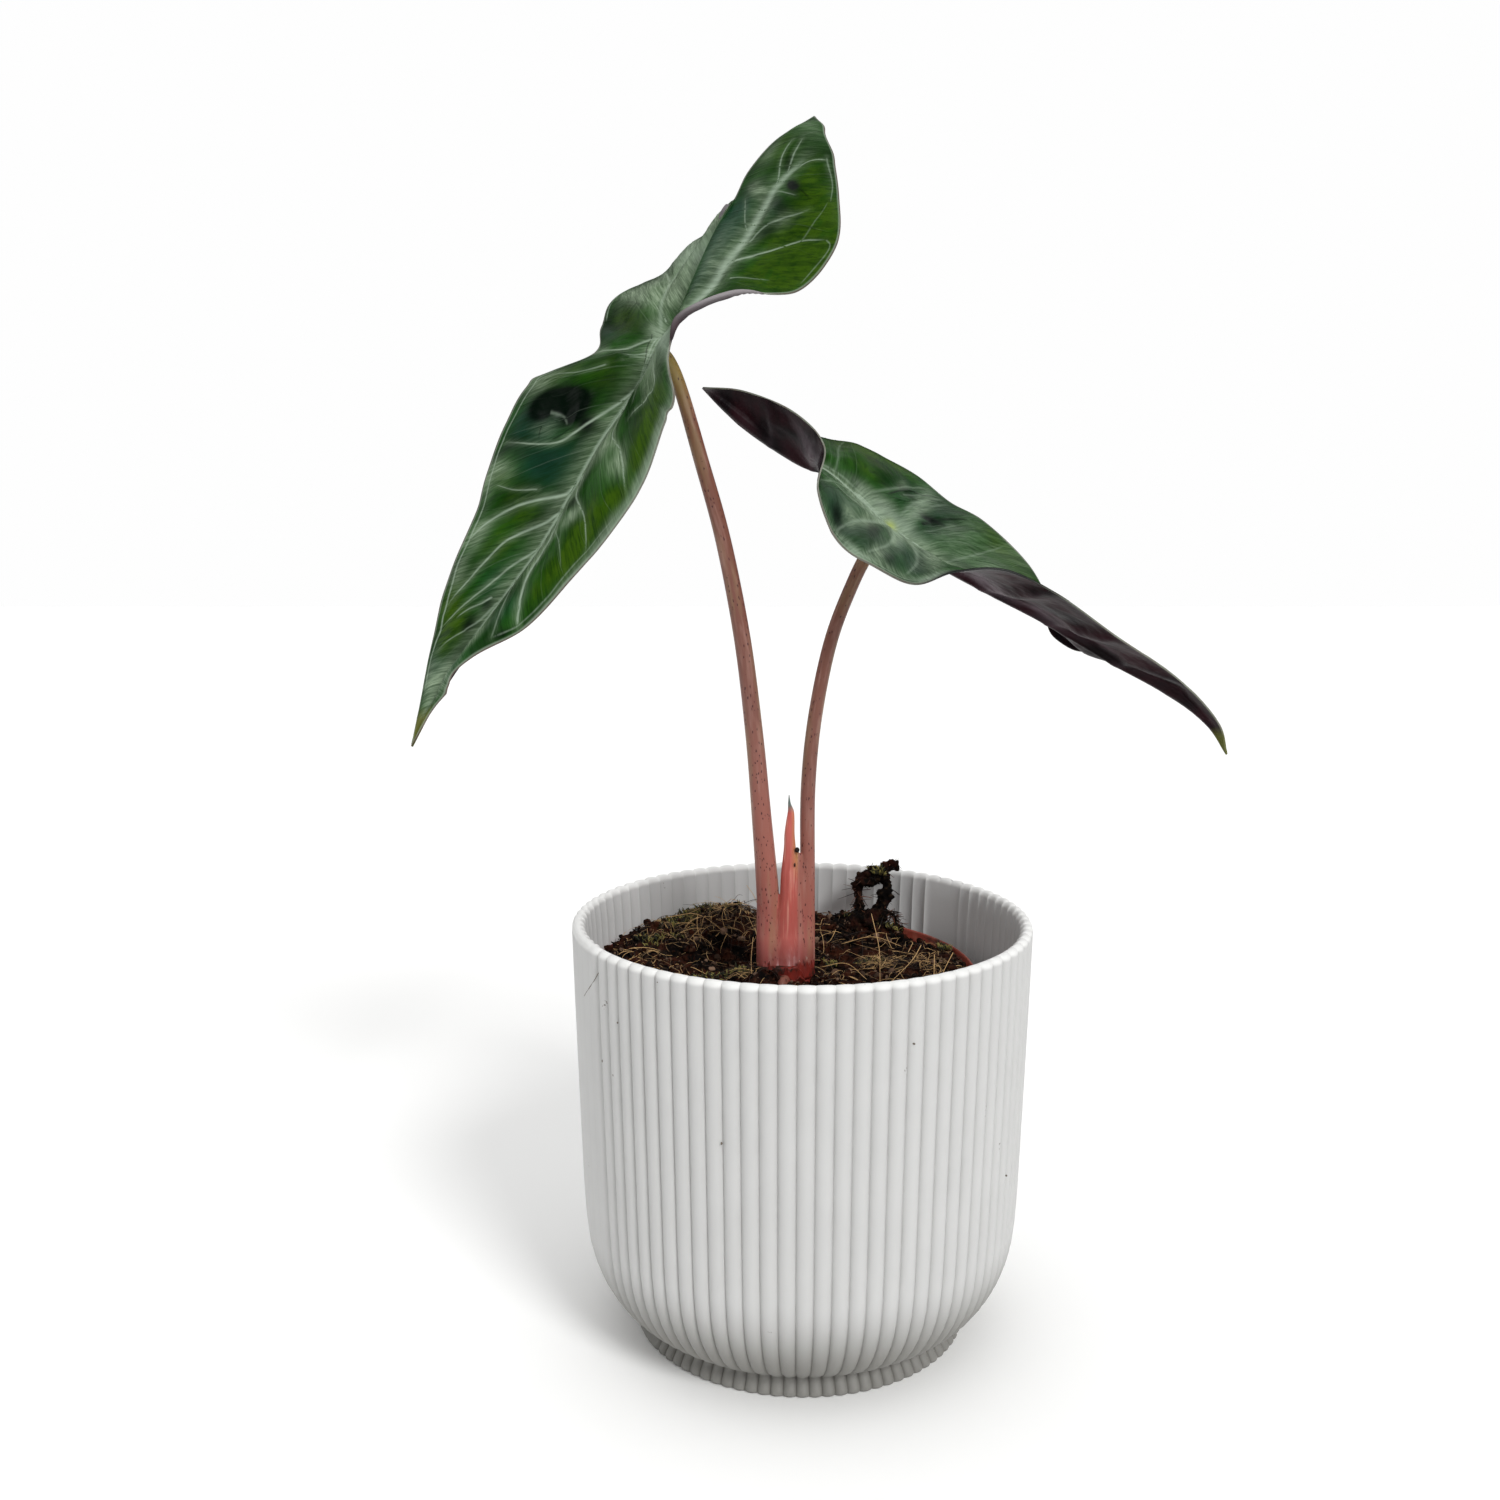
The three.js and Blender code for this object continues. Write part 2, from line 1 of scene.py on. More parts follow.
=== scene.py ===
# A young pink dragon alocasia with two waved leaves, in a thin nursery pot inside a ribbed cover pot.
# Sizes are in millimetres, with +Z up and the front towards -Y, and become metres as a mesh is made.

import math
import random
from functools import partial

import bmesh
import bpy
import numpy as np
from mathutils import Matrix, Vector, noise


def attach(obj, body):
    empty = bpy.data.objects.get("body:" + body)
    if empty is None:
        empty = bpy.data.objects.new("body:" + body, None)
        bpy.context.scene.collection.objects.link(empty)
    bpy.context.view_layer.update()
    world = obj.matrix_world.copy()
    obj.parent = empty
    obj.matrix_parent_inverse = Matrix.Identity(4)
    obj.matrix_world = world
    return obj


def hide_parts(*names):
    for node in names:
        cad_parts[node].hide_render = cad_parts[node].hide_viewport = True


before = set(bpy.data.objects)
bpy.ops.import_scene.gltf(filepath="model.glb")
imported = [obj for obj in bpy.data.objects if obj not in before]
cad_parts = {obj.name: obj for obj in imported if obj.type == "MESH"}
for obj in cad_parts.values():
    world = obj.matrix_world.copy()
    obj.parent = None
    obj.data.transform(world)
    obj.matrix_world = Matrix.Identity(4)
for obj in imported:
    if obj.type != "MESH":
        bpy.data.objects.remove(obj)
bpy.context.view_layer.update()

mm = 0.001  # one millimetre, in metres
root = "root"  # the one body that everything rides on


# Small tools

def toLinear(hexColour):
    shares = [int(hexColour[i:i + 2], 16) / 255 for i in (1, 3, 5)]
    return [s / 12.92 if s <= 0.04045 else ((s + 0.055) / 1.055) ** 2.4 for s in shares] + [1]


def addNode(tree, kind, inputs=(), stops=(), **options):
    # inputs are {socket: value}, or a row of values in the order of the node's own sockets
    node = tree.nodes.new("ShaderNode" + kind)
    for name, value in options.items():
        setattr(node, name, value)
    for name, value in inputs.items() if isinstance(inputs, dict) else enumerate(inputs):
        if isinstance(value, bpy.types.Node):
            value = value.outputs[0]
        if isinstance(value, bpy.types.NodeSocket):
            tree.links.new(value, node.inputs[name])
        else:
            node.inputs[name].default_value = toLinear(value) if isinstance(value, str) else value
    for i, (place, colour) in enumerate(stops):
        elements = node.color_ramp.elements
        element = elements[i] if i < 2 else elements.new(place)
        element.position = place
        element.color = toLinear(colour) if isinstance(colour, str) else (colour, colour, colour, 1)
    return node


def newMaterial(name):
    # A material that is still empty, and the function that adds a node to it
    material = bpy.data.materials.new(name)
    material.use_nodes = True
    material.node_tree.nodes.clear()
    return material, partial(addNode, material.node_tree)


def makePiece(name, points, faces, materials, replaced=None, attributes=None, faceSlots=None,
              smooth=True):
    mesh = bpy.data.meshes.new(name)
    mesh.from_pydata((np.asarray(points, float) * mm).tolist(), [], [list(f) for f in faces])
    for material in materials:
        mesh.materials.append(material)
    for label, values in (attributes or {}).items():
        values = np.asarray(values, np.float32)
        kind = "FLOAT_VECTOR" if values.ndim == 2 else "FLOAT"
        layer = mesh.attributes.new(label, kind, "POINT")
        layer.data.foreach_set("vector" if values.ndim == 2 else "value", values.ravel())
    if faceSlots is not None:
        mesh.polygons.foreach_set("material_index", np.asarray(faceSlots, np.int32))
    mesh.polygons.foreach_set("use_smooth", [smooth] * len(mesh.polygons))
    mesh.update()
    piece = bpy.data.objects.new(name, mesh)
    bpy.context.scene.collection.objects.link(piece)
    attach(piece, root)
    if replaced:
        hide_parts(replaced)
    return piece


def smoothLine(points, places):
    # A smooth line through points, at places counted from 0 at the first point, and its direction
    points = np.asarray(points, float)
    padded = np.vstack([2 * points[0] - points[1], points, 2 * points[-1] - points[-2]])
    places = np.clip(np.asarray(places, float), 0, len(points) - 1)
    first = np.minimum(places.astype(int), len(points) - 2)
    t = (places - first)[:, None]
    before, start, end, after = (padded[first + i] for i in range(4))
    leave, arrive = (end - before) / 2, (after - start) / 2
    square = -3 * start + 3 * end - 2 * leave - arrive
    cube = 2 * start - 2 * end + leave + arrive
    return start + leave * t + square * t ** 2 + cube * t ** 3, leave + 2 * square * t + 3 * cube * t ** 2


def gridFaces(rows, columns, closed=False):
    # The quads of a grid of points numbered row by row; closed joins the last column to the first
    across = columns if closed else columns - 1
    row, column = np.meshgrid(np.arange(rows - 1), np.arange(across), indexing="ij")
    a = row * columns + column
    b = row * columns + (column + 1) % columns
    return np.stack([a, b, b + columns, a + columns], -1).reshape(-1, 4)


def ringFaces(rings, sides):
    # The faces of a closed body made of rings of points, with a cap at both ends
    last = (rings - 1) * sides
    caps = [list(range(sides))[::-1], [last + i for i in range(sides)]]
    return gridFaces(rings, sides, closed=True).tolist() + caps


def lathe(profile, turns, radiusAt=None):
    # Rings of points about the Z axis, closed at both ends; turns are angles from -Y towards +X
    rings = []
    for number, (radius, height) in enumerate(profile):
        radii = np.full(len(turns), float(radius)) if radiusAt is None else radiusAt(number)
        rings.append(np.stack([radii * np.sin(turns), -radii * np.cos(turns),
                               np.full(len(turns), float(height))], 1))
    return np.vstack(rings), ringFaces(len(profile), len(turns))


def tube(centres, radii, sides, turn=0.0):
    # A closed tube of rings round a line of centres
    centres = np.asarray(centres, float)
    run = np.gradient(centres, axis=0)
    run /= np.linalg.norm(run, axis=1)[:, None]
    aside = np.array([0, 1, 0]) if abs(run[:, 1]).max() < 0.9 else np.array([1, 0, 0])
    across = np.cross(aside, run)
    across /= np.linalg.norm(across, axis=1)[:, None]
    deep = np.cross(run, across)
    angles = np.linspace(0, 2 * np.pi, sides, endpoint=False) + turn
    radii = np.asarray(radii, float)[:, None, None]
    points = centres[:, None] + radii * (np.cos(angles)[None, :, None] * across[:, None]
                                         + np.sin(angles)[None, :, None] * deep[:, None])
    return points.reshape(-1, 3), ringFaces(len(centres), sides)


def joined(parts):
    # Several (points, faces) as one, with the number of each point's own part
    points, faces, owner, start = [], [], [], 0
    for number, (partPoints, partFaces) in enumerate(parts):
        points.append(np.asarray(partPoints, float))
        faces += [[start + i for i in face] for face in partFaces]
        owner.append(np.full(len(partPoints), number))
        start += len(partPoints)
    return np.vstack(points), faces, np.concatenate(owner)


def pointNormals(points, quads):
    normals = np.zeros_like(points)
    diagonals = np.cross(points[quads[:, 2]] - points[quads[:, 0]], points[quads[:, 3]] - points[quads[:, 1]])
    for corner in range(4):
        np.add.at(normals, quads[:, corner], diagonals)
    return normals / np.maximum(np.linalg.norm(normals, axis=1), 1e-9)[:, None]


def thickened(points, quads, under):
    # A sheet of quads made into a closed blade; under is how far its underside lies below each point
    normals = pointNormals(points, quads)
    count = len(points)
    edges = np.concatenate([quads[:, [i, (i + 1) % 4]] for i in range(4)])
    keys = edges[:, 0] * count + edges[:, 1]
    rim = edges[~np.isin(keys, edges[:, 1] * count + edges[:, 0])]
    walls = np.stack([rim[:, 1], rim[:, 0], rim[:, 0] + count, rim[:, 1] + count], 1)
    faces = np.vstack([quads, quads[:, ::-1] + count, walls])
    lower = points - normals * np.asarray(under, float)[:, None]
    return np.vstack([points, lower]), faces, (len(quads), len(quads), len(walls))


def roughness3d(points, size, octaves=4, seed=0.0):
    # Fractal noise, about -1 to 1, at each point; size is the width of its largest lumps
    shift = Vector((seed, 2.3 * seed, -1.7 * seed))
    return np.array([noise.fractal(Vector(p) / size + shift, 1.0, 2.0, octaves) for p in points])


def fused(points, faces, voxel, smoothing=0):
    # Overlapping closed bodies made into one mesh of even quads, and their creases smoothed
    mesh = bpy.data.meshes.new("overlapping")
    mesh.from_pydata((points * mm).tolist(), [], faces)
    body = bpy.data.objects.new("overlapping", mesh)
    bpy.context.scene.collection.objects.link(body)
    remesh = body.modifiers.new("remesh", "REMESH")
    remesh.mode = "VOXEL"
    remesh.voxel_size = voxel * mm
    if smoothing:
        body.modifiers.new("smooth", "SMOOTH").iterations = smoothing
    bpy.context.view_layer.update()
    whole = bpy.data.meshes.new_from_object(body.evaluated_get(bpy.context.evaluated_depsgraph_get()))
    spots = np.array([v.co for v in whole.vertices]) / mm
    normals = np.array([v.normal for v in whole.vertices])
    quads = [list(face.vertices) for face in whole.polygons]
    bpy.data.objects.remove(body)
    for used in (mesh, whole):
        bpy.data.meshes.remove(used)
    return spots, normals, quads


# Camera, light and floor

view = {
    "place": (-15.85, -462.66, 259.52),
    "downDegrees": 9.56,
    "lens": 37.2,  # on a 36 mm sensor
}
camera = bpy.data.objects.new("camera", bpy.data.cameras.new("camera"))
camera.location = Vector(view["place"]) * mm
camera.rotation_euler = (math.radians(90 - view["downDegrees"]), 0, 0)
camera.data.lens = view["lens"]
camera.data.clip_start = 0.01
bpy.context.scene.collection.objects.link(camera)
bpy.context.scene.camera = camera

studio = {
    "backdrop": "#fefefe",
    "horizon": 0.1,  # soft light from the side, as a share of the backdrop's white
    "zenith": 1.15,  # and from straight above
    # windows that glossy skins mirror: [direction, light]
    "windows": [((-0.85, -0.05, 0.52), 1.5), ((0.42, 0.5, 0.76), 0.6)],
    "windowEdge": (0.8, 0.97),  # cosines where one starts and where it is full
    "room": 0.045,  # how bright the rest of the mirrored room is
    "floor": "#fdfdfc",
    "floorWarm": "#fbfbfa",
    "floorSide": 6000,
    # direction it comes from, as degrees to the right of the front and above the floor, its softness and power
    "suns": {
        "key": {"right": 32, "above": 38, "softness": 18, "power": 1.7},
        "back": {"right": 200, "above": 55, "softness": 60, "power": 0.2},
    },
}
world = bpy.data.worlds.new("studio")
world.use_nodes = True
world.node_tree.nodes.clear()
add = partial(addNode, world.node_tree)
generated = add("TexCoord").outputs["Generated"]
direction = add("SeparateXYZ", {"Vector": generated})
skyLight = add("MapRange", (direction.outputs["Z"], 0, 1, studio["horizon"], studio["zenith"]))
# What glossy skins mirror: a dim room with soft windows
roomLight = studio["room"]
for towards, strength in studio["windows"]:
    facing = add("VectorMath", (generated, Vector(towards).normalized()), operation="DOT_PRODUCT")
    window = add("MapRange", (facing.outputs["Value"], *studio["windowEdge"], 0, strength),
                 interpolation_type="SMOOTHSTEP")
    roomLight = add("Math", (window, roomLight), operation="ADD")
seen, ambient, mirrored = (add("Background", {"Color": studio["backdrop"], "Strength": strength})
                           for strength in (1.0, skyLight, roomLight))
rays = add("LightPath")
lit = add("MixShader", (rays.outputs["Is Glossy Ray"], ambient, mirrored))
either = add("MixShader", (rays.outputs["Is Camera Ray"], lit, seen))
add("OutputWorld", {"Surface": either})
bpy.context.scene.world = world
bpy.context.scene.view_settings.view_transform = "Standard"

for name, sun in studio["suns"].items():
    light = bpy.data.lights.new(name, "SUN")
    light.energy = sun["power"]
    light.angle = math.radians(sun["softness"])
    lamp = bpy.data.objects.new(name, light)
    lamp.rotation_euler = (math.radians(90 - sun["above"]), 0, math.radians(sun["right"]))
    bpy.context.scene.collection.objects.link(lamp)

# Painted board: a smooth matt white that shows no more than a soft contact shadow
floorPaint, add = newMaterial("paintedBoardMatt")
paintGrain = add("TexNoise", {"Scale": 1000 / 40, "Detail": 2.0})
paint = add("MixRGB", (paintGrain, studio["floor"], studio["floorWarm"]))
add("OutputMaterial", {"Surface": add("BsdfPrincipled", {"Base Color": paint, "Roughness": 0.8})})
side = studio["floorSide"] / 2 * mm
floorMesh = bpy.data.meshes.new("floor")
floorMesh.from_pydata([(-side, -side, 0), (side, -side, 0), (side, side, 0), (-side, side, 0)], [], [(0, 1, 2, 3)])
floorMesh.materials.append(floorPaint)
floor = bpy.data.objects.new("floor", floorMesh)
bpy.context.scene.collection.objects.link(floor)
print("camera, light and floor are set")


# Cover pot: 84 convex flutes with narrow grooves, from the foot to the scalloped rim

coverPot = {
    "ribs": 84,
    "ribDepth": 1.3,
    "ribPhase": -2.84,  # degrees from the front to a groove
    "roundness": 0.78,  # how much of a flute's depth is its round face; the rest is the narrow groove
    "acrossOneRib": (-0.97, -0.9, -0.78, -0.6, -0.33, 0, 0.33, 0.6, 0.78, 0.9, 0.97, 1),
    # [radius, height, how much of the flutes shows], from the middle of the underside to the rim
    "outside": [
        (14, 0, 0), (44, 0, 0), (51.0, 0, 0.3), (51.7, 0.35, 0.7), (52.0, 1.1, 0.9), (51.7, 2.0, 1),
        (50.6, 3.6, 1), (49.9, 4.9, 1), (50.2, 5.6, 1), (51.4, 6.4, 1), (53.4, 7.7, 1), (55.6, 9.2, 1),
        (58.6, 12.1, 1), (61.4, 16, 1), (63.7, 20.2, 1), (65.5, 25, 1), (66.7, 30, 1), (67.5, 37, 1),
        (68.0, 46, 1), (68.3, 55, 1), (68.85, 73, 1), (69.4, 92, 1), (69.9, 110, 1), (70.3, 127, 1),
        (70.3, 128.0, 1), (70.2, 128.8, 1), (69.9, 129.45, 1), (69.45, 129.85, 0.97), (68.9, 130, 0.92),
    ],
    # [radius, height, how much of the inner waves shows], from the rim down to the floor
    "inside": [
        (68.4, 130, 0.9), (67.9, 129.85, 0.9), (67.4, 129.3, 1), (67.1, 128.4, 1), (66.6, 122, 1),
        (66.2, 112, 1), (65.9, 98, 1), (65.4, 76, 1), (65.0, 55, 1), (64.4, 42, 1), (63.2, 30, 0.8),
        (61.0, 22, 0.4), (57.4, 16, 0.1), (53.5, 11.5, 0), (49, 8.5, 0), (45.5, 6.8, 0), (30, 6.5, 0), (6, 6.5, 0),
    ],
    "rimDip": 0.42,  # how far the rim sinks over each groove
    "waveDepth": 0.75,  # the flutes seen from inside
    # smooth stretches of the inner and the outer wall, in degrees from the front towards +X
    "plainInside": {"middle": 131.5, "wide": 5.6},
    "plainOutside": {"middle": 284, "wide": 15},
    # specks and dashes of soil: [degrees, height, width, length]
    "marks": [(-57.2, 97.2, 0.4, 1.0), (-52.2, 94.8, 0.4, 1.1), (-52.1, 112, 0.3, 0.7), (-49.7, 111.3, 0.3, 0.5),
              (-35.8, 127, 0.35, 0.3), (61, 60, 0.4, 0.6), (24, 112, 0.5, 0.5), (-20, 84, 0.35, 0.8)],
    # a scuff on the smooth stretch: [degrees, height]
    "scuff": [(-57.3, 123.6), (-59.2, 121.1), (-62.4, 117.7), (-64.4, 115.7), (-67, 113.2)],
    "plastic": "#c9c9c8",
    "plasticShade": "#c2c2c1",
    # a painted highlight for the lip
    "rimHighlight": "#f0f0ee",
    # dust and painted shade for the grooves
    "dustAndShade": "#8b8a85",
    # painted shade where the pot curves under
    "paintedUnderShade": "#75736d",
    "dirt": "#4b3c2e",
    "dirtDry": "#7d766b",
}


def makeCoverPot():
    phase = math.radians(coverPot["ribPhase"])
    pitch = 2 * math.pi / coverPot["ribs"]
    turns = np.array([phase + (rib + 0.5 + share / 2) * pitch
                      for rib in range(coverPot["ribs"]) for share in coverPot["acrossOneRib"]])
    place = np.abs(np.tile(coverPot["acrossOneRib"], coverPot["ribs"]))
    groove = coverPot["roundness"] * place ** 2 + (1 - coverPot["roundness"]) * place ** 9
    degrees = np.degrees(turns) % 360
    fluted = {}
    for side in ("plainInside", "plainOutside"):
        panel = coverPot[side]
        fluted[side] = 1 / (1 + np.exp(-(np.abs(degrees - panel["middle"]) - panel["wide"]) / 0.5))
    waves = groove * fluted["plainInside"]
    groove = groove * (0.08 + 0.92 * fluted["plainOutside"])
    profile = coverPot["outside"] + coverPot["inside"]
    outer = len(coverPot["outside"])

    def radiusAt(number):
        radius, _, share = profile[number]
        if number < outer:
            return radius - coverPot["ribDepth"] * share * groove
        return radius - coverPot["waveDepth"] * share * waves

    points, faces = lathe([row[:2] for row in profile], turns, radiusAt)
    upper = np.repeat([max(0, (height - 124) / 6) for _, height, _ in profile], len(turns))
    points[:, 2] -= coverPot["rimDip"] * upper * np.tile(groove, len(profile))
    # How deep each point lies in a groove, for dust and painted shade; the inner waves get less
    grooveDustAndShade = np.concatenate([share * groove if i < outer else 0.4 * share * waves
                            for i, (_, _, share) in enumerate(profile)])
    return points, faces, grooveDustAndShade


def makePotPlastic():
    # Polypropylene, injection moulded in an off-white: a dry matt skin that light rolls softly over, with a faint
    # mottle from the melt, dust and painted shade in the grooves, painted shade where it curves under, a painted
    # highlight along the lip and a few specks of potting soil
    material, add = newMaterial("polypropyleneMouldedMatt")
    place = add("TexCoord").outputs["Object"]
    mottle = add("TexNoise", {"Vector": place, "Scale": 1000 / 18, "Detail": 3.0})
    colour = add("MixRGB", (mottle, coverPot["plastic"], coverPot["plasticShade"]))
    # Dust and painted shade in the grooves, heavier low down
    grooveDustAndShade = add("Attribute", attribute_name="grooveDustAndShade")
    height = add("SeparateXYZ", {"Vector": place})
    low = add("MapRange", (height.outputs["Z"], 0.03, 0.0, 0.3, 0.8))
    patchy = add("TexNoise", {"Vector": place, "Scale": 1000 / 7, "Detail": 4.0})
    dustAndShade = add("Math", (grooveDustAndShade.outputs["Fac"], low), operation="MULTIPLY")
    dustAndShade = add("Math", (dustAndShade, patchy), operation="MULTIPLY")
    colour = add("MixRGB", (dustAndShade, colour, coverPot["dustAndShade"]))
    # Painted shade where the pot curves under
    underShadeMask = add("MapRange", (height.outputs["Z"], 0.038, 0.012, 0, 0.85), interpolation_type="SMOOTHSTEP")
    colour = add("MixRGB", (underShadeMask, colour, coverPot["paintedUnderShade"]))
    # A painted highlight along the rounded lip
    lipHighlight = add("MapRange", (height.outputs["Z"], 0.1276, 0.129, 0, 0.75), interpolation_type="SMOOTHSTEP")
    colour = add("MixRGB", (lipHighlight, colour, coverPot["rimHighlight"]))
    # Specks of soil about 1 mm wide, a few of each hundred cells
    upright = add("Mapping", {"Vector": place, "Scale": (1, 1, 0.5)})
    jitter = add("TexNoise", {"Vector": place, "Scale": 1000 / 1.5}).outputs["Color"]
    ragged = add("MixRGB", (0.006, upright, jitter))
    cells = add("TexVoronoi", {"Vector": ragged, "Scale": 1000 / 6})
    dot = add("MapRange", (cells.outputs["Distance"], 0.09, 0.04, 0, 0.8))
    chosen = add("SeparateColor", {"Color": cells.outputs["Color"]})
    rare = add("Math", (chosen, 0.95), operation="GREATER_THAN")
    speck = add("Math", (dot, rare), operation="MULTIPLY")
    colour = add("MixRGB", (speck, colour, coverPot["dirt"]))
    # Fine moulded texture, drawn 0.7 mm wide because the real 0.2 mm one would not show
    grain = add("TexNoise", {"Vector": place, "Scale": 1000 / 0.7, "Detail": 2.0})
    bump = add("Bump", {"Height": grain, "Strength": 0.12, "Distance": 0.0002})
    gloss = add("MapRange", (patchy, 0, 1, 0.5, 0.66))
    skin = add("BsdfPrincipled", {"Base Color": colour, "Roughness": gloss, "IOR": 1.49, "Normal": bump})
    add("OutputMaterial", {"Surface": skin})
    return material


points, faces, grooveDustAndShade = makeCoverPot()
makePiece("coverPot", points, faces, [makePotPlastic()], "cover_pot", {"grooveDustAndShade": grooveDustAndShade})


def onPotWall(degrees, height, lift=0.0):
    turn = math.radians(degrees)
    radius = np.interp(height, *zip(*[(z, r) for r, z, _ in coverPot["outside"][3:]])) + lift
    return np.array([radius * math.sin(turn), -radius * math.cos(turn), height])


def makePotMarks():
    parts = []
    for degrees, height, width, length in coverPot["marks"]:
        turn = math.radians(degrees)
        aside = np.array([math.cos(turn), math.sin(turn), 0]) * width * 0.15
        line = [onPotWall(degrees, height + length * share, -0.25) + aside * lean
                for share, lean in ((-0.5, -1), (-0.2, 0.4), (0.2, -0.3), (0.5, 1))]
        parts.append(tube(line, width * np.array([0.3, 0.8, 0.75, 0.25]), 8))
    scuff = [onPotWall(degrees, height, -0.06) for degrees, height in coverPot["scuff"]]
    path = smoothLine(scuff, np.linspace(0, len(scuff) - 1, 24))[0]
    parts.append(tube(path, 0.1 * (0.7 + 0.5 * np.abs(np.sin(np.linspace(0.6, 9, 24)))), 6))
    return joined(parts)


def makeDriedSoil():
    # Soil dried on to the plastic: matt, grey-brown and thin at its edges
    material, add = newMaterial("soilDriedSmear")
    place = add("TexCoord").outputs["Object"]
    thin = add("TexNoise", {"Vector": place, "Scale": 1000 / 0.9, "Detail": 3.0})
    colour = add("MixRGB", (thin, coverPot["dirt"], coverPot["dirtDry"]))
    add("OutputMaterial", {"Surface": add("BsdfPrincipled", {"Base Color": colour, "Roughness": 0.9})})
    return material


points, faces, _ = makePotMarks()
makePiece("potMarks", points, faces, [makeDriedSoil()])
print("cover pot made")


# Nursery pot: thin, red-brown, with a rolled rim and drain holes, pushed to the left

nurseryPot = {
    "centre": (-6, 0),
    "segments": 144,
    "outside": [
        (3, 6.8), (36.5, 6.8), (38.2, 7.2), (39.4, 9.8), (48, 57), (57.8, 107.6), (58.2, 108.0),
        (59.3, 108.1), (59.8, 108.7), (59.8, 112.8), (59.6, 113.6), (59.1, 114),
    ],
    "inside": [
        (58.9, 114), (58.8, 113.4), (58.8, 109.4), (58.3, 108.9), (57.0, 108.4), (47.4, 57), (38.6, 9.9),
        (37.4, 8.0), (36, 7.7), (3, 7.7),
    ],
    "plastic": "#8c3a2b",
    "plasticWorn": "#a5604d",
    "soilSmear": "#3a2418",
}


def makeNurseryPlastic():
    # Polypropylene, vacuum formed from red-brown sheet: thin and satin, scuffed paler at the rim and
    # smeared with soil
    material, add = newMaterial("polypropyleneFormedTerracotta")
    place = add("TexCoord").outputs["Object"]
    scuffs = add("TexNoise", {"Vector": place, "Scale": 1000 / 4, "Detail": 4.0})
    worn = add("MapRange", (scuffs, 0.5, 0.75, 0, 0.8))
    colour = add("MixRGB", (worn, nurseryPot["plastic"], nurseryPot["plasticWorn"]))
    smears = add("TexNoise", {"Vector": place, "Scale": 1000 / 9, "Detail": 5.0})
    dirty = add("MapRange", (smears, 0.48, 0.6))
    colour = add("MixRGB", (dirty, colour, nurseryPot["soilSmear"]))
    bump = add("Bump", {"Height": smears, "Strength": 0.4, "Distance": 0.0004})
    skin = add("BsdfPrincipled", {"Base Color": colour, "Roughness": 0.5, "IOR": 1.49, "Normal": bump})
    add("OutputMaterial", {"Surface": skin})
    return material


turns = np.linspace(0, 2 * np.pi, nurseryPot["segments"], endpoint=False)
points, faces = lathe(nurseryPot["outside"] + nurseryPot["inside"], turns)
points += (*nurseryPot["centre"], 0)
makePiece("nurseryPot", points, faces, [makeNurseryPlastic()], "nursery_pot")
print("nursery pot made")


# Soil: peat heaped at the rear left, with crumbs, coir fibres and moss

soil = {
    "level": 110,
    "radius": 58.5,
    "rings": 90,
    "segments": 264,
    # [x, y, height, half width, half depth]
    "heaps": [(-25, 44, 9.5, 20, 14), (-56, 12, 4.8, 14, 24), (-50, 34, 3.2, 9, 9), (18, 48, 6, 20, 12),
              (42, 4, 3, 12, 22), (-12.5, -8, 4.6, 4.5, 4.2)],
    "wall": [(58.5, 109.4), (58.1, 109.2), (56.6, 108.6), (47, 57), (38.2, 10.2), (36.8, 8.2), (4, 8.2)],
    "lump": 9,
    "lumpHeight": 2.0,
    # [x, y, radius, depth], where the soil has sunk and lies bare
    "hollows": [(-22, 22, 9, 4.0), (-14, 14, 6, 3.0), (14, 22, 8, 3.0), (8, 8, 5, 2.0), (24, 26, 5, 2.2),
                (-40, 20, 5, 1.6), (-30, 8, 8, 2.6)],
    "crumbs": 900,
    "smallCrumbs": 2600,
    "peat": "#070403",
    "peatRed": "#321509",
    "peatDry": "#483122",
    "flake": "#8a6f5c",
}
coir = {
    "scattered": 320,
    # [x, y, spread, fibres, longest, how steeply they stand]
    "clumps": [
        (-29, 42, 9, 110, 15, 0.35), (-44, 34, 8, 80, 11, 0.35), (-17, 46, 6, 50, 12, 0.5), (-27, 50, 7, 40, 8, 0.9),
        (-15, 32, 6, 30, 14, 0.5), (-13.5, 2, 4, 30, 13, 0.9), (-14, -6, 4, 20, 12, 0.7), (25, 12, 5, 60, 13, 0.7),
        (-34, 34, 8, 80, 10, 0.4), (24.5, 8, 2.6, 60, 7, 0.9), (50, 6, 4, 25, 9, 0.5),
        (34, 7, 6, 70, 14, 0.6), (41, 2, 6, 45, 12, 0.5), (16, 33, 7, 22, 15, 0.4), (44, 22, 6, 25, 12, 0.5),
        (10, -3, 5, 30, 12, 0.5), (30, -20, 12, 40, 14, 0.3), (-34, -22, 14, 50, 14, 0.3), (-46, 6, 8, 45, 10, 0.4),
    ],
    # single long fibres: [start, middle, end]
    "long": [
        [(-14.2, 24, 119), (-13, 8, 117.5), (-11.3, -10.4, 111)],
        [(-14.8, 20, 117), (-15.5, 5, 114), (-15, -9, 110.5)],
        [(24, 30, 122), (24.5, 5, 118), (24, -6, 110.5)], [(38, 8, 118), (34, -2, 116), (27, -8, 111)],
        [(14, 26, 113), (24, 24, 116), (33, 20, 114)], [(41, -2, 118), (40.5, -6, 114), (40, -9, 111)],
        [(47, 0, 118), (44, -4, 114), (42, -8, 111)], [(-44, 40, 118), (-33, 38, 119.5), (-22, 30, 114)],
        [(-12.5, 55.7, 116), (-14.5, 53, 122), (-17, 52, 126)], [(6, 4, 112), (14, 0, 114.5), (20, -5, 111)],
    ],
    "radius": 0.1,
    "straw": "#d0a872",
    "brown": "#22120a",
}
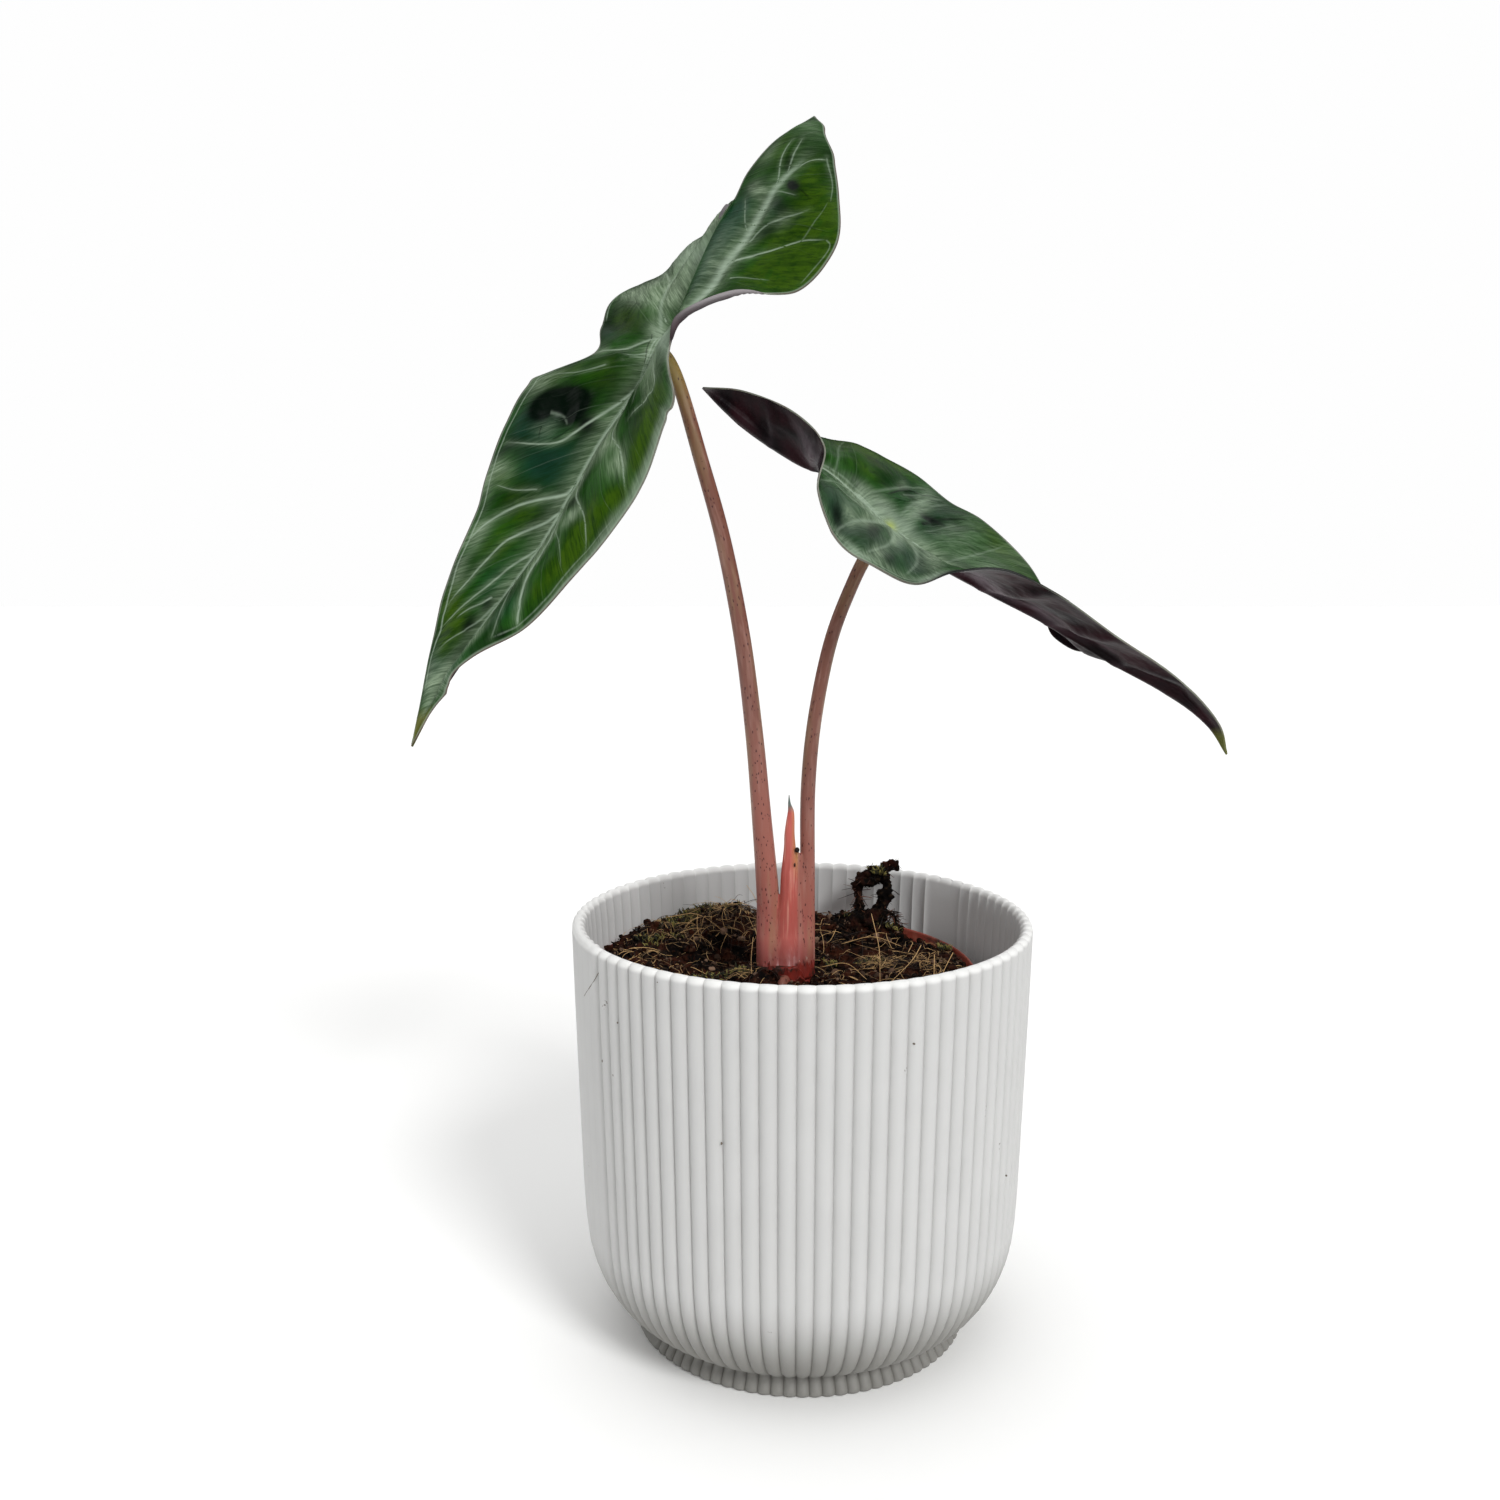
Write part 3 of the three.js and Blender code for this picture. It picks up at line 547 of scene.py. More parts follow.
moss = {
    # [x, y, spread, tufts]
    "patches": [
        (-27, 51, 6, 34), (-40, 42, 8, 34), (-19, 2, 2.2, 14), (-29, 0, 5, 10), (-50, 24, 6, 12), (22, 12, 3, 10),
        (-20, -30, 9, 12), (20, 50, 6, 6), (30, 45, 5, 8), (10, 14, 4, 5),
    ],
    # [x, y, z, spread, tufts]
    "perched": [(27.4, 48.2, 131.6, 1.5, 12), (47, 20, 113.4, 1.2, 4), (35.6, 43.4, 111.5, 1.2, 5)],
    "bladesPerTuft": 12,
    "light": "#8c8040",
    "dark": "#22260f",
}
stemBase = {"centre": (-4.6, 0.2), "radius": 8.8, "flattening": 0.86, "top": 115.5}


def soilHeight(x, y):
    height = soil["level"] + 0.7 * np.sin(0.33 * x + 1) * np.sin(0.29 * y) + 0.4 * np.sin(0.8 * x + y)
    for heapX, heapY, high, wide, deep in soil["heaps"]:
        height = height + high * np.exp(-(((x - heapX) / wide) ** 2) - ((y - heapY) / deep) ** 2)
    for hollowX, hollowY, radius, depth in soil["hollows"]:
        height = height - depth * np.exp(-((x - hollowX) ** 2 + (y - hollowY) ** 2) / radius ** 2)
    return height


def isBare(x, y):
    return any(math.hypot(x - hx, y - hy) < 0.75 * radius for hx, hy, radius, _ in soil["hollows"])


def insideMouth(x, y, margin):
    # Pulls a point back inside the nursery pot's mouth, and pushes it out of the stem base
    centreX, centreY = nurseryPot["centre"]
    reach = math.hypot(x - centreX, y - centreY)
    limit = soil["radius"] - margin
    if reach > limit:
        x, y = centreX + (x - centreX) * limit / reach, centreY + (y - centreY) * limit / reach
    stemX, stemY = stemBase["centre"]
    away = math.hypot(x - stemX, y - stemY)
    clear = stemBase["radius"] + margin * 0.4
    if 0 < away < clear:
        x, y = stemX + (x - stemX) * clear / away, stemY + (y - stemY) * clear / away
    return x, y


def makeSoilBed():
    turns = np.linspace(0, 2 * np.pi, soil["segments"], endpoint=False)
    top = [(soil["radius"] * ring / soil["rings"], soil["level"]) for ring in range(soil["rings"], 0, -1)]
    points, faces = lathe(soil["wall"][::-1] + top, turns)
    points += (*nurseryPot["centre"], 0)
    isTop = points[:, 2] >= soil["level"] - 0.01
    above = points[isTop]
    rim = np.hypot(above[:, 0] - nurseryPot["centre"][0], above[:, 1]) / soil["radius"]
    lumps = roughness3d(above, soil["lump"], 6, 3.1)
    ridges = np.abs(roughness3d(above, soil["lump"] / 3, 4, 8.4))
    fade = np.clip((1 - rim) * 12, 0.15, 1)
    above[:, 2] = soilHeight(above[:, 0], above[:, 1]) + fade * (soil["lumpHeight"] * lumps + 1.6 * ridges - 0.6)
    points[isTop] = above
    return points, faces


def crumbShapes():
    shapes = []
    for subdivisions in (1, 2):
        lump = bmesh.new()
        bmesh.ops.create_icosphere(lump, subdivisions=subdivisions, radius=1)
        shapes.append((np.array([v.co for v in lump.verts]), [[v.index for v in f.verts] for f in lump.faces]))
        lump.free()
    return shapes


def turnedAbout(points, draw):
    # Points turned to a random direction
    axis = Vector((draw.gauss(0, 1), draw.gauss(0, 1), draw.gauss(0, 1))).normalized()
    turn = np.array(Vector((0, 0, 1)).rotation_difference(axis).to_matrix())
    return points @ turn.T


def makeCrumbs(draw):
    small, large = crumbShapes()
    parts = []
    for number in range(soil["crumbs"] + soil["smallCrumbs"]):
        big = number < soil["crumbs"]
        shape, faces = large if big else small
        size = draw.uniform(0.9, 2.4) ** 1.2 * 0.55 if big else draw.uniform(0.3, 0.8)
        reach = soil["radius"] * math.sqrt(draw.random())
        turn = draw.uniform(0, 2 * math.pi)
        x = nurseryPot["centre"][0] + reach * math.cos(turn)
        y = nurseryPot["centre"][1] + reach * math.sin(turn)
        x, y = insideMouth(x, y, size + 0.3)
        stretch = np.array([1, draw.uniform(0.55, 1), draw.uniform(0.4, 0.8)])
        if number % 14 == 3:
            stretch = np.array([1.7, 0.8, 0.25])  # a flat flake of bark
        dented = shape * (1 + 0.28 * roughness3d(shape + number, 0.9, 2))[:, None] if big else shape
        lump = turnedAbout(dented * stretch * size, draw)
        z = float(soilHeight(x, y)) + draw.uniform(-0.2, 0.9) + 0.4 * size
        parts.append((lump + (x, y, z), faces))
    return joined(parts)


def fibrePath(draw, x, y, length, stand):
    # A loosely curled fibre that starts on the soil at x, y
    heading = draw.uniform(0, 2 * math.pi)
    climb = draw.uniform(-0.1, 1.0) * stand
    bend = draw.uniform(-1.4, 1.4) / length
    droop = draw.uniform(0.4, 1.8) / length
    steps = 9
    place = np.array([x, y, float(soilHeight(x, y)) + draw.uniform(0.2, 1.6)])
    path = [place.copy()]
    for _ in range(steps - 1):
        stride = length / (steps - 1)
        place = place + stride * np.array([math.cos(heading) * math.cos(climb), math.sin(heading) * math.cos(climb),
                                           math.sin(climb)])
        place[0], place[1] = insideMouth(place[0], place[1], 0.6)
        ground = float(soilHeight(place[0], place[1])) + 0.9
        if place[2] < ground:
            place[2] = ground
            climb = abs(climb) * 0.4
        heading += bend * stride + draw.gauss(0, 0.12)
        climb -= droop * stride
        path.append(place.copy())
    return path


def makeFibres(draw):
    places = []
    for _ in range(coir["scattered"]):
        reach = soil["radius"] * 0.95 * math.sqrt(draw.random())
        turn = draw.uniform(0, 2 * math.pi)
        places.append((nurseryPot["centre"][0] + reach * math.cos(turn), reach * math.sin(turn), 14, 0.15))
    for x, y, spread, count, longest, stand in coir["clumps"]:
        for _ in range(count):
            places.append((draw.gauss(x, spread * 0.6), draw.gauss(y, spread * 0.6), longest, stand))
    parts = []
    for start, middle, end in coir["long"]:
        path = smoothLine([start, middle, end], np.linspace(0, 2, 13))[0]
        parts.append(tube(path, coir["radius"] * np.linspace(1.2, 0.7, 13), 5))
    for x, y, longest, stand in places:
        x, y = insideMouth(x, y, 1.5)
        if isBare(x, y):
            continue
        length = longest * draw.uniform(0.3, 1)
        path = smoothLine(fibrePath(draw, x, y, length, stand), np.linspace(0, 8, 11))[0]
        thick = coir["radius"] * draw.uniform(0.45, 1.15)
        radii = thick * np.interp(np.linspace(0, 1, 11), [0, 0.3, 0.8, 1], [0.8, 1, 0.8, 0.3])
        parts.append(tube(path, radii, 4, turn=draw.uniform(0, 1)))
    return joined(parts)


def mossTuft(draw, x, y, ground):
    blades = []
    for _ in range(moss["bladesPerTuft"]):
        lean = np.array([draw.gauss(0, 0.8), draw.gauss(0, 0.8), draw.uniform(0.5, 1.5)])
        length = draw.uniform(0.9, 2.6)
        start = np.array([x + draw.gauss(0, 0.8), y + draw.gauss(0, 0.8), ground])
        tip = start + lean / np.linalg.norm(lean) * length
        middle = (start + tip) / 2 + (0, 0, 0.15 * length)
        blades.append(tube([start, middle, tip], np.array([0.28, 0.24, 0.05]) * draw.uniform(0.6, 1.1), 3))
    return blades


def makeMoss(draw):
    parts = []
    for x, y, spread, tufts in moss["patches"]:
        for _ in range(tufts):
            tuftX, tuftY = insideMouth(draw.gauss(x, spread * 0.55), draw.gauss(y, spread * 0.55), 1.5)
            if isBare(tuftX, tuftY):
                continue
            parts += mossTuft(draw, tuftX, tuftY, float(soilHeight(tuftX, tuftY)) + 0.6)
    for x, y, z, spread, tufts in moss["perched"]:
        for _ in range(tufts):
            parts += mossTuft(draw, draw.gauss(x, spread * 0.7), draw.gauss(y, spread * 0.7),
                              draw.gauss(z, spread * 0.3))
    return joined(parts)


def makePeat(name, wet, red, dry):
    # Peat: a fibrous, crumbly black-brown that swallows light, with rusty bits and dry pale dust
    material, add = newMaterial(name)
    place = add("TexCoord").outputs["Object"]
    clumps = add("TexNoise", {"Vector": place, "Scale": 1000 / 6, "Detail": 5.0, "Roughness": 0.65})
    rusty = add("MapRange", (clumps, 0.46, 0.6))
    colour = add("MixRGB", (rusty, wet, red))
    crumbs = add("TexNoise", {"Vector": place, "Scale": 1000 / 1.2, "Detail": 3.0})
    dusty = add("MapRange", (crumbs, 0.55, 0.7, 0, 0.6))
    colour = add("MixRGB", (dusty, colour, dry))
    # One crumb in eight is a dry pale flake
    tone = add("Attribute", attribute_name="tone").outputs["Fac"]
    pale = add("MapRange", (tone, 0.84, 0.99, 0, 0.75))
    colour = add("MixRGB", (pale, colour, soil["flake"]))
    bump = add("Bump", {"Height": crumbs, "Strength": 0.9, "Distance": 0.0008})
    skin = add("BsdfPrincipled",
               {"Base Color": colour, "Roughness": 0.95, "IOR": 1.4, "Specular IOR Level": 0.15, "Normal": bump})
    add("OutputMaterial", {"Surface": skin})
    return material


def makePlantFibre(name, light, dark, rough):
    # Dry plant fibre: matt, striped along its length, each strand a little lighter or darker
    material, add = newMaterial(name)
    tone = add("Attribute", attribute_name="tone")
    place = add("TexCoord").outputs["Object"]
    streaks = add("TexNoise", {"Vector": place, "Scale": 1000 / 1.5, "Detail": 2.0})
    mixed = add("Math", (streaks, 0.5, tone.outputs["Fac"]), operation="MULTIPLY_ADD")
    share = add("MapRange", (mixed, 0.6, 1.2), interpolation_type="SMOOTHSTEP")
    colour = add("MixRGB", (share, dark, light))
    bump = add("Bump", {"Height": streaks, "Strength": 0.4, "Distance": 0.0001})
    skin = add("BsdfPrincipled", {"Base Color": colour, "Roughness": rough, "IOR": 1.5, "Normal": bump})
    add("OutputMaterial", {"Surface": skin})
    return material


def toneOf(owner, draw):
    tones = np.array([draw.random() for _ in range(int(owner.max()) + 1)])
    return tones[owner]


draw = random.Random(41)
peat = makePeat("peatCrumbled", soil["peat"], soil["peatRed"], soil["peatDry"])
coirStrand = makePlantFibre("coirHuskFibre", coir["straw"], coir["brown"], 0.75)
mossLeaf = makePlantFibre("mossLeafLiving", moss["light"], moss["dark"], 0.8)
points, faces = makeSoilBed()
makePiece("soilBed", points, faces, [peat], "soil")
points, faces, owner = makeCrumbs(draw)
makePiece("soilCrumbs", points, faces, [peat], attributes={"tone": toneOf(owner, draw)}, smooth=False)
points, faces, owner = makeFibres(draw)
tone = toneOf(owner, draw)
tone[owner < len(coir["long"])] = 0.95  # the long ones are pale
makePiece("coirFibres", points, faces, [coirStrand], attributes={"tone": tone})
points, faces, owner = makeMoss(draw)
makePiece("mossTufts", points, faces, [mossLeaf], attributes={"tone": toneOf(owner, draw)})
print("soil made")


# Peat tuft: matted black roots that rise behind the stem and close in a ragged loop

peatTuft = {
    # arms of [x, y, z, radius]
    "arms": [
        [(20.5, 43, 107, 3.4), (21.4, 45, 114, 2.6), (21.2, 46.3, 119, 1.5), (20.6, 47, 123, 1.1),
         (20.9, 47.8, 126, 1.4), (22.8, 48.4, 128.8, 2.6), (25.6, 49, 130, 2.6), (28.6, 49.6, 131.2, 1.8)],
        [(25.5, 42.5, 107, 3.6), (26.4, 44.4, 114.5, 3.0), (28.2, 46, 119, 1.9), (29.9, 47.4, 123, 2.3),
         (30.3, 48.4, 126.5, 2.4), (29.6, 49.5, 129.8, 1.9), (30.3, 50.4, 132.1, 1.5), (32.4, 51, 133.4, 1.9),
         (34.4, 51.2, 133.1, 1.4)],
        [(14.5, 41, 109.5, 2.4), (18.5, 43, 113.5, 3.0), (24, 44, 115, 3.6), (28.4, 43, 112.4, 3.0)],
        [(28.7, 45.6, 118.6, 0.5), (31, 45.6, 118, 0.4), (32.9, 45, 116.6, 0.45), (33.4, 44, 113, 0.8)],
        [(33, 43.4, 108, 2.0), (34.4, 43.6, 111.4, 2.1), (35.4, 43, 110.6, 1.5), (36.4, 42, 108, 1.2)],
    ],
    "voxel": 0.45,
    "ragged": 1.5,
    "roots": 460,
    "top": 135,  # no root rises above it
    "peat": "#070403",
    "peatRed": "#2a120b",
    "peatDry": "#3a2a1a",
    "rootLight": "#6a3a20",
    "rootDark": "#0f0705",
}


def makeTuftBody():
    parts = []
    for arm in peatTuft["arms"]:
        places = np.linspace(0, len(arm) - 1, 26)
        line = smoothLine([point[:3] for point in arm], places)[0]
        radii = np.interp(places, range(len(arm)), [point[3] for point in arm])
        line = line + 0.5 * np.stack([roughness3d(line, 3, 2, seed) for seed in (2.2, 6.1, 9.4)], 1)
        wobble = 1 + 0.4 * roughness3d(line, 3, 3, 5.5)
        parts.append(tube(line, 1.12 * radii * wobble, 12))
    points, faces, _ = joined(parts)
    spots, normals, faces = fused(points, faces, peatTuft["voxel"])
    push = peatTuft["ragged"] * roughness3d(spots, 2.2, 4, 1.2) + 0.5 * np.abs(roughness3d(spots, 0.9, 2, 6))
    return spots + normals * (push - 0.2)[:, None], faces


def makeTuftRoots(draw):
    parts = []
    for _ in range(peatTuft["roots"]):
        arm = np.array(draw.choice(peatTuft["arms"]))
        start = smoothLine(arm[:, :3], [draw.uniform(0.3, len(arm) - 1)])[0][0]
        lean = np.array([draw.gauss(0, 1), draw.gauss(0, 1), draw.gauss(0.2, 0.9)])
        lean /= np.linalg.norm(lean)
        length = draw.uniform(1.5, 4.5)
        sag = np.array([draw.gauss(0, 0.7), draw.gauss(0, 0.7), -abs(draw.gauss(0, 0.8))])
        path = [start + lean * length * t + sag * 2 * t ** 2 for t in np.linspace(0, 1, 6)]
        parts.append(tube(path, 0.2 * draw.uniform(0.5, 1.2) * np.linspace(1, 0.4, 6), 4))
    return joined(parts)


points, faces = makeTuftBody()
matted = makePeat("peatMattedRoots", peatTuft["peat"], peatTuft["peatRed"], peatTuft["peatDry"])
makePiece("peatTuft", points, faces, [matted], "peat_tuft")
points, faces, owner = makeTuftRoots(draw)
points[:, 2] = np.minimum(points[:, 2], peatTuft["top"])
rootHair = makePlantFibre("rootHairDry", peatTuft["rootLight"], peatTuft["rootDark"], 0.8)
makePiece("tuftRoots", points, faces, [rootHair], attributes={"tone": toneOf(owner, draw)})
print("peat tuft made")


# Stem base: a dark red corm with torn rings of old scale leaves and one pale root nub

corm = {
    "profile": [
        (3, 84), (4.5, 84.4), (7.2, 89.5), (8.0, 98), (8.3, 103.6), (7.8, 104.6), (8.5, 108.8), (8.0, 109.9),
        (8.7, 112.6), (8.6, 114.4), (8.0, 115.3), (5, 115.5), (1, 115.5),
    ],
    "segments": 96,
    # torn scales: [first turn, last turn, foot, height, how far they stand off]
    "scales": [(-80, -5, 110.8, 6.6, -0.2), (-30, 35, 111.0, 5.6, 0.3), (0, 95, 111.4, 6.8, -0.1),
               (110, 250, 110.5, 5.8, 0.2), (-70, -20, 109.6, 3.6, 0.7), (-15, 60, 108.6, 3.4, 0.8)],
    "nub": {
        "line": [(-4.8, -5.6, 111.3), (-5.6, -7.6, 111.6), (-6.2, -9.4, 110.4), (-6.4, -10.2, 108.6)],
        "radius": 1.65,
        "taper": [1, 1, 1, 1, 1, 0.98, 0.95, 0.9, 0.85, 0.78, 0.7, 0.6, 0.42, 0.2],
    },
    "skin": "#4a120e",
    "skinRed": "#962a1c",
    "torn": "#e0b8a8",
    "rootTip": "#7d4b3e",
}


def makeCorm():
    turns = np.linspace(0, 2 * np.pi, corm["segments"], endpoint=False)
    places = np.linspace(0, len(corm["profile"]) - 1, 60)
    profile = smoothLine([(r, z, 0) for r, z in corm["profile"]], places)[0][:, :2]
    points, faces = lathe(profile, turns)
    points[:, :2] *= 1 + 0.035 * roughness3d(points, 5, 4, 2.2)[:, None]
    parts = [(points, faces)]
    rows, columns = 9, 70
    rise = np.linspace(0, 1, rows)[:, None]
    ends = np.sin(np.linspace(0, np.pi, columns)) ** 0.35
    for firstTurn, lastTurn, foot, height, off in corm["scales"]:
        arc = np.radians(np.linspace(firstTurn, lastTurn, columns))
        torn = height * ends * (0.78 + 0.5 * roughness3d(np.stack([arc * 6, arc * 0, arc * 0], 1), 0.9, 5, foot))
        radius = (corm["profile"][8][0] + 0.15 + off * rise ** 2 * 1.6) * np.ones((rows, columns))
        sheet = np.stack([radius * np.sin(arc), -radius * np.cos(arc), foot + rise * torn], -1).reshape(-1, 3)
        scale, scaleFaces, _ = thickened(sheet, gridFaces(rows, columns), np.full(len(sheet), 0.28))
        parts.append((scale, scaleFaces.tolist()))
    points, faces, owner = joined(parts)
    points[:, 1] *= stemBase["flattening"]
    points += (*stemBase["centre"], 0)
    return points, faces, owner


def makeCormSkin():
    # Corm skin: a dry, fibrous dark red rind, paler where the old scales are torn
    material, add = newMaterial("cormRindDry")
    place = add("TexCoord").outputs["Object"]
    upright = add("Mapping", {"Vector": place, "Scale": (1, 1, 0.3)})
    threads = add("TexNoise", {"Vector": upright, "Scale": 1000 / 1.6, "Detail": 4.0})
    colour = add("MixRGB", (threads, corm["skin"], corm["skinRed"]))
    patches = add("TexNoise", {"Vector": place, "Scale": 1000 / 4, "Detail": 3.0})
    dark = add("MapRange", (patches, 0.5, 0.6))
    colour = add("MixRGB", (dark, colour, soil["peatRed"]))
    edge = add("Attribute", attribute_name="torn")
    colour = add("MixRGB", (edge.outputs["Fac"], colour, corm["torn"]))
    bump = add("Bump", {"Height": threads, "Strength": 0.7, "Distance": 0.0004})
    skin = add("BsdfPrincipled", {"Base Color": colour, "Roughness": 0.6, "IOR": 1.45, "Normal": bump})
    add("OutputMaterial", {"Surface": skin})
    return material


def makeRootTip():
    # Living root tip: a pale pinkish white, moist and a little translucent, with soil stuck to it
    material, add = newMaterial("rootTipLiving")
    place = add("TexCoord").outputs["Object"]
    stains = add("TexNoise", {"Vector": place, "Scale": 1000 / 2.5, "Detail": 4.0})
    dirty = add("MapRange", (stains, 0.5, 0.62))
    colour = add("MixRGB", (dirty, corm["rootTip"], soil["peatRed"]))
    skin = add("BsdfPrincipled", {"Base Color": colour, "Roughness": 0.5, "IOR": 1.4})
    add("OutputMaterial", {"Surface": skin})
    return material


points, faces, owner = makeCorm()
torn = (owner == 3) * np.clip(points[:, 2] - 116.6, 0, 1) * 0.3  # the ragged top of the third scale
makePiece("corm", points, faces, [makeCormSkin()], "corm", {"torn": torn})
nub = corm["nub"]
nubPath = smoothLine(nub["line"], np.linspace(0, len(nub["line"]) - 1, len(nub["taper"])))[0]
points, faces = tube(nubPath, nub["radius"] * np.array(nub["taper"]), 28)
points = points + 0.35 * np.stack([roughness3d(points, 2.5, 3, seed) for seed in (1.1, 5.2, 8.3)], 1)
makePiece("rootNub", points, faces, [makeRootTip()])
print("stem base made")


# Stalks and the rolled new leaf

stalks = {
    # [x, y, z, radius] from the stem base up
    "left": [
        (-10, 1.2, 115, 3.6), (-10.3, 0.8, 135, 3.5), (-12.4, -0.6, 162, 3), (-14.6, -1.8, 187, 2.7),
        (-18.2, -3, 216, 2.5), (-23.8, -4, 245, 2.3), (-30.4, -4.6, 269, 2.15), (-35.6, -4.4, 287, 2),
        (-39, -5, 295.3, 2), (-42.2, -7.8, 299.2, 1.8),
    ],
    "right": [
        (1.9, 0.9, 115, 2.4), (1.8, 1, 145, 2.3), (1.9, 1.8, 170, 2.25), (4, 2.8, 192, 2.15),
        (8.6, 3.8, 214.5, 2.05), (15.2, 4.8, 232, 2), (20.6, 5, 242.5, 2.1), (25, 4.1, 248.9, 1.9),
    ],
    "sides": 40,
    "rings": 170,
    # where the bases grow together, as tubes of [x, y, z, half width, half depth]
    "webs": [
        [(-10.2, 0.9, 113.5, 3.75, 3.75), (-10.3, 0.9, 125, 3.6, 3.6), (-10.4, 0.8, 136, 3.4, 3.4),
         (-11, 0.4, 146, 2.9, 2.9)],
        [(1.5, 0.8, 113.5, 2.7, 2.9), (1.6, 0.9, 130, 2.5, 2.6), (1.7, 1.0, 145, 2.35, 2.35),
         (1.8, 1.1, 156, 2.0, 2.0)],
        [(-4.5, -0.6, 113.5, 3.6, 2.8), (-4.5, -0.8, 126, 3.4, 2.5), (-4.05, -0.9, 136, 2.6, 2.2),
         (-4.0, -1, 141, 2.2, 1.8)],
        [(-7.8, -0.3, 113.5, 2.6, 2.8), (-7.8, -0.3, 121, 2.0, 2.3), (-8.0, -0.4, 127.5, 1.0, 1.4),
         (-8.1, -0.4, 131, 0.4, 0.6)],
        [(-1.2, -0.4, 113.5, 2.6, 2.6), (-1.2, -0.5, 132, 2.2, 2.2), (-1.4, -0.7, 144, 1.5, 1.7),
         (-1.5, -0.8, 150.5, 0.7, 0.9)],
    ],
    "webVoxel": 0.4,
    "webSmoothing": 14,
    "flare": 0.85,  # how much the bases deepen to meet the rind
    # the dark foot in the rind, and then the colours from the base up to the blade
    "foot": "#74332f",
    "base": "#bd6a64",
    "low": "#ad6a5d",
    "middle": "#7e5146",
    "upper": "#754a3c",
    "top": "#94863f",
    "greenish": "#9a8a62",
    "pale": "#c9a496",
    "speckle": "#3a1820",
}
newLeaf = {
    # [x, y, z, half width, half depth]
    "line": [
        (-4.7, -0.6, 115.5, 3.3, 2.3), (-4.6, -0.8, 128, 3.3, 2.4), (-4.05, -0.9, 136, 2.85, 2.3),
        (-4.0, -1.0, 143, 2.55, 2.1), (-3.8, -1.2, 148, 2.2, 1.75), (-3.75, -1.4, 152, 1.85, 1.5),
        (-3.85, -1.5, 156, 1.6, 1.3), (-3.6, -1.5, 160, 1.3, 1.0), (-3.45, -1.5, 163, 0.95, 0.75),
        (-3.9, -1.5, 165.5, 0.42, 0.4), (-4.0, -1.5, 168, 0.12, 0.12),
    ],
    "coral": "#da766a",
    "deep": "#b8524a",
    "pale": "#e9aa98",
    "sheathGreen": "#c9a05f",
    "tip": "#66756f",
    # scars in the notch beside the spear: [place, radius, how tall for its width]
    "scars": [((-1.5, -2.7, 151.2), 0.75, 1.2), ((-2.2, -3.05, 146.6), 0.26, 2.6)],
    "scar": "#0d0705",
    "scarDry": "#2a1a10",
}


def flared(points):
    # The bases deepen towards the rind that holds them
    low = np.clip((126 - points[:, 2]) / 11, 0, 1) ** 2
    points[:, 1] *= 1 + stalks["flare"] * low
    return points


def stalkLine(side):
    # The centres and radii of a stalk's rings, and the way run up to each
    line = stalks[side]
    rings = smoothLine(line, np.linspace(0, len(line) - 1, stalks["rings"]))[0]
    steps = np.linalg.norm(np.diff(rings[:, :3], axis=0), axis=1)
    return rings[:, :3], rings[:, 3], np.concatenate([[0], np.cumsum(steps)])


def makeStalk(side):
    centres, radii, run = stalkLine(side)
    sides = stalks["sides"]
    points, faces = tube(centres, radii, sides)
    ring = np.repeat(np.arange(len(centres)), sides)
    around = np.tile(np.linspace(0, 2 * np.pi, sides, endpoint=False), len(centres))
    straight = np.stack([radii[ring] * np.cos(around), radii[ring] * np.sin(around), run[ring]], 1)
    return flared(points), faces, straight, run[ring] / run[-1]


def makeSheaths():
    # The grown-together bases, and for each point its place on the nearer stalk and how far it belongs to it
    parts = []
    rows, sides = 40, 32
    for web in stalks["webs"]:
        rings = smoothLine(web, np.linspace(0, len(web) - 1, rows))[0]
        points, faces = tube(rings[:, :3], np.ones(rows), sides)
        rings = np.repeat(rings, sides, axis=0)
        stretch = np.column_stack([rings[:, 3:], np.zeros(len(rings))])
        parts.append((rings[:, :3] + (points - rings[:, :3]) * stretch, faces))
    points, faces, _ = joined(parts)
    points, _, faces = fused(points, faces, stalks["webVoxel"], stalks["webSmoothing"])
    onLeft = points[:, 0] < -4.5
    straight, shares = np.zeros_like(points), np.zeros(len(points))
    for side, mine in (("left", onLeft), ("right", ~onLeft)):
        centres, _, run = stalkLine(side)
        x, y, z = points[mine].T
        along = np.interp(z, centres[:, 2], run)
        straight[mine] = np.stack([x - np.interp(z, centres[:, 2], centres[:, 0]), y, along], 1)
        shares[mine] = along / run[-1]
    x, z = points[:, 0], points[:, 2]
    leftEdge, rightEdge = np.interp(z, [115, 128, 136], [-7.2, -7.6, -7.6]), -1.3
    belongs = 1 / (1 + np.exp((x - leftEdge) / 0.35)) + 1 / (1 + np.exp(-(x - rightEdge) / 0.12))
    return flared(points), faces, straight, shares, belongs


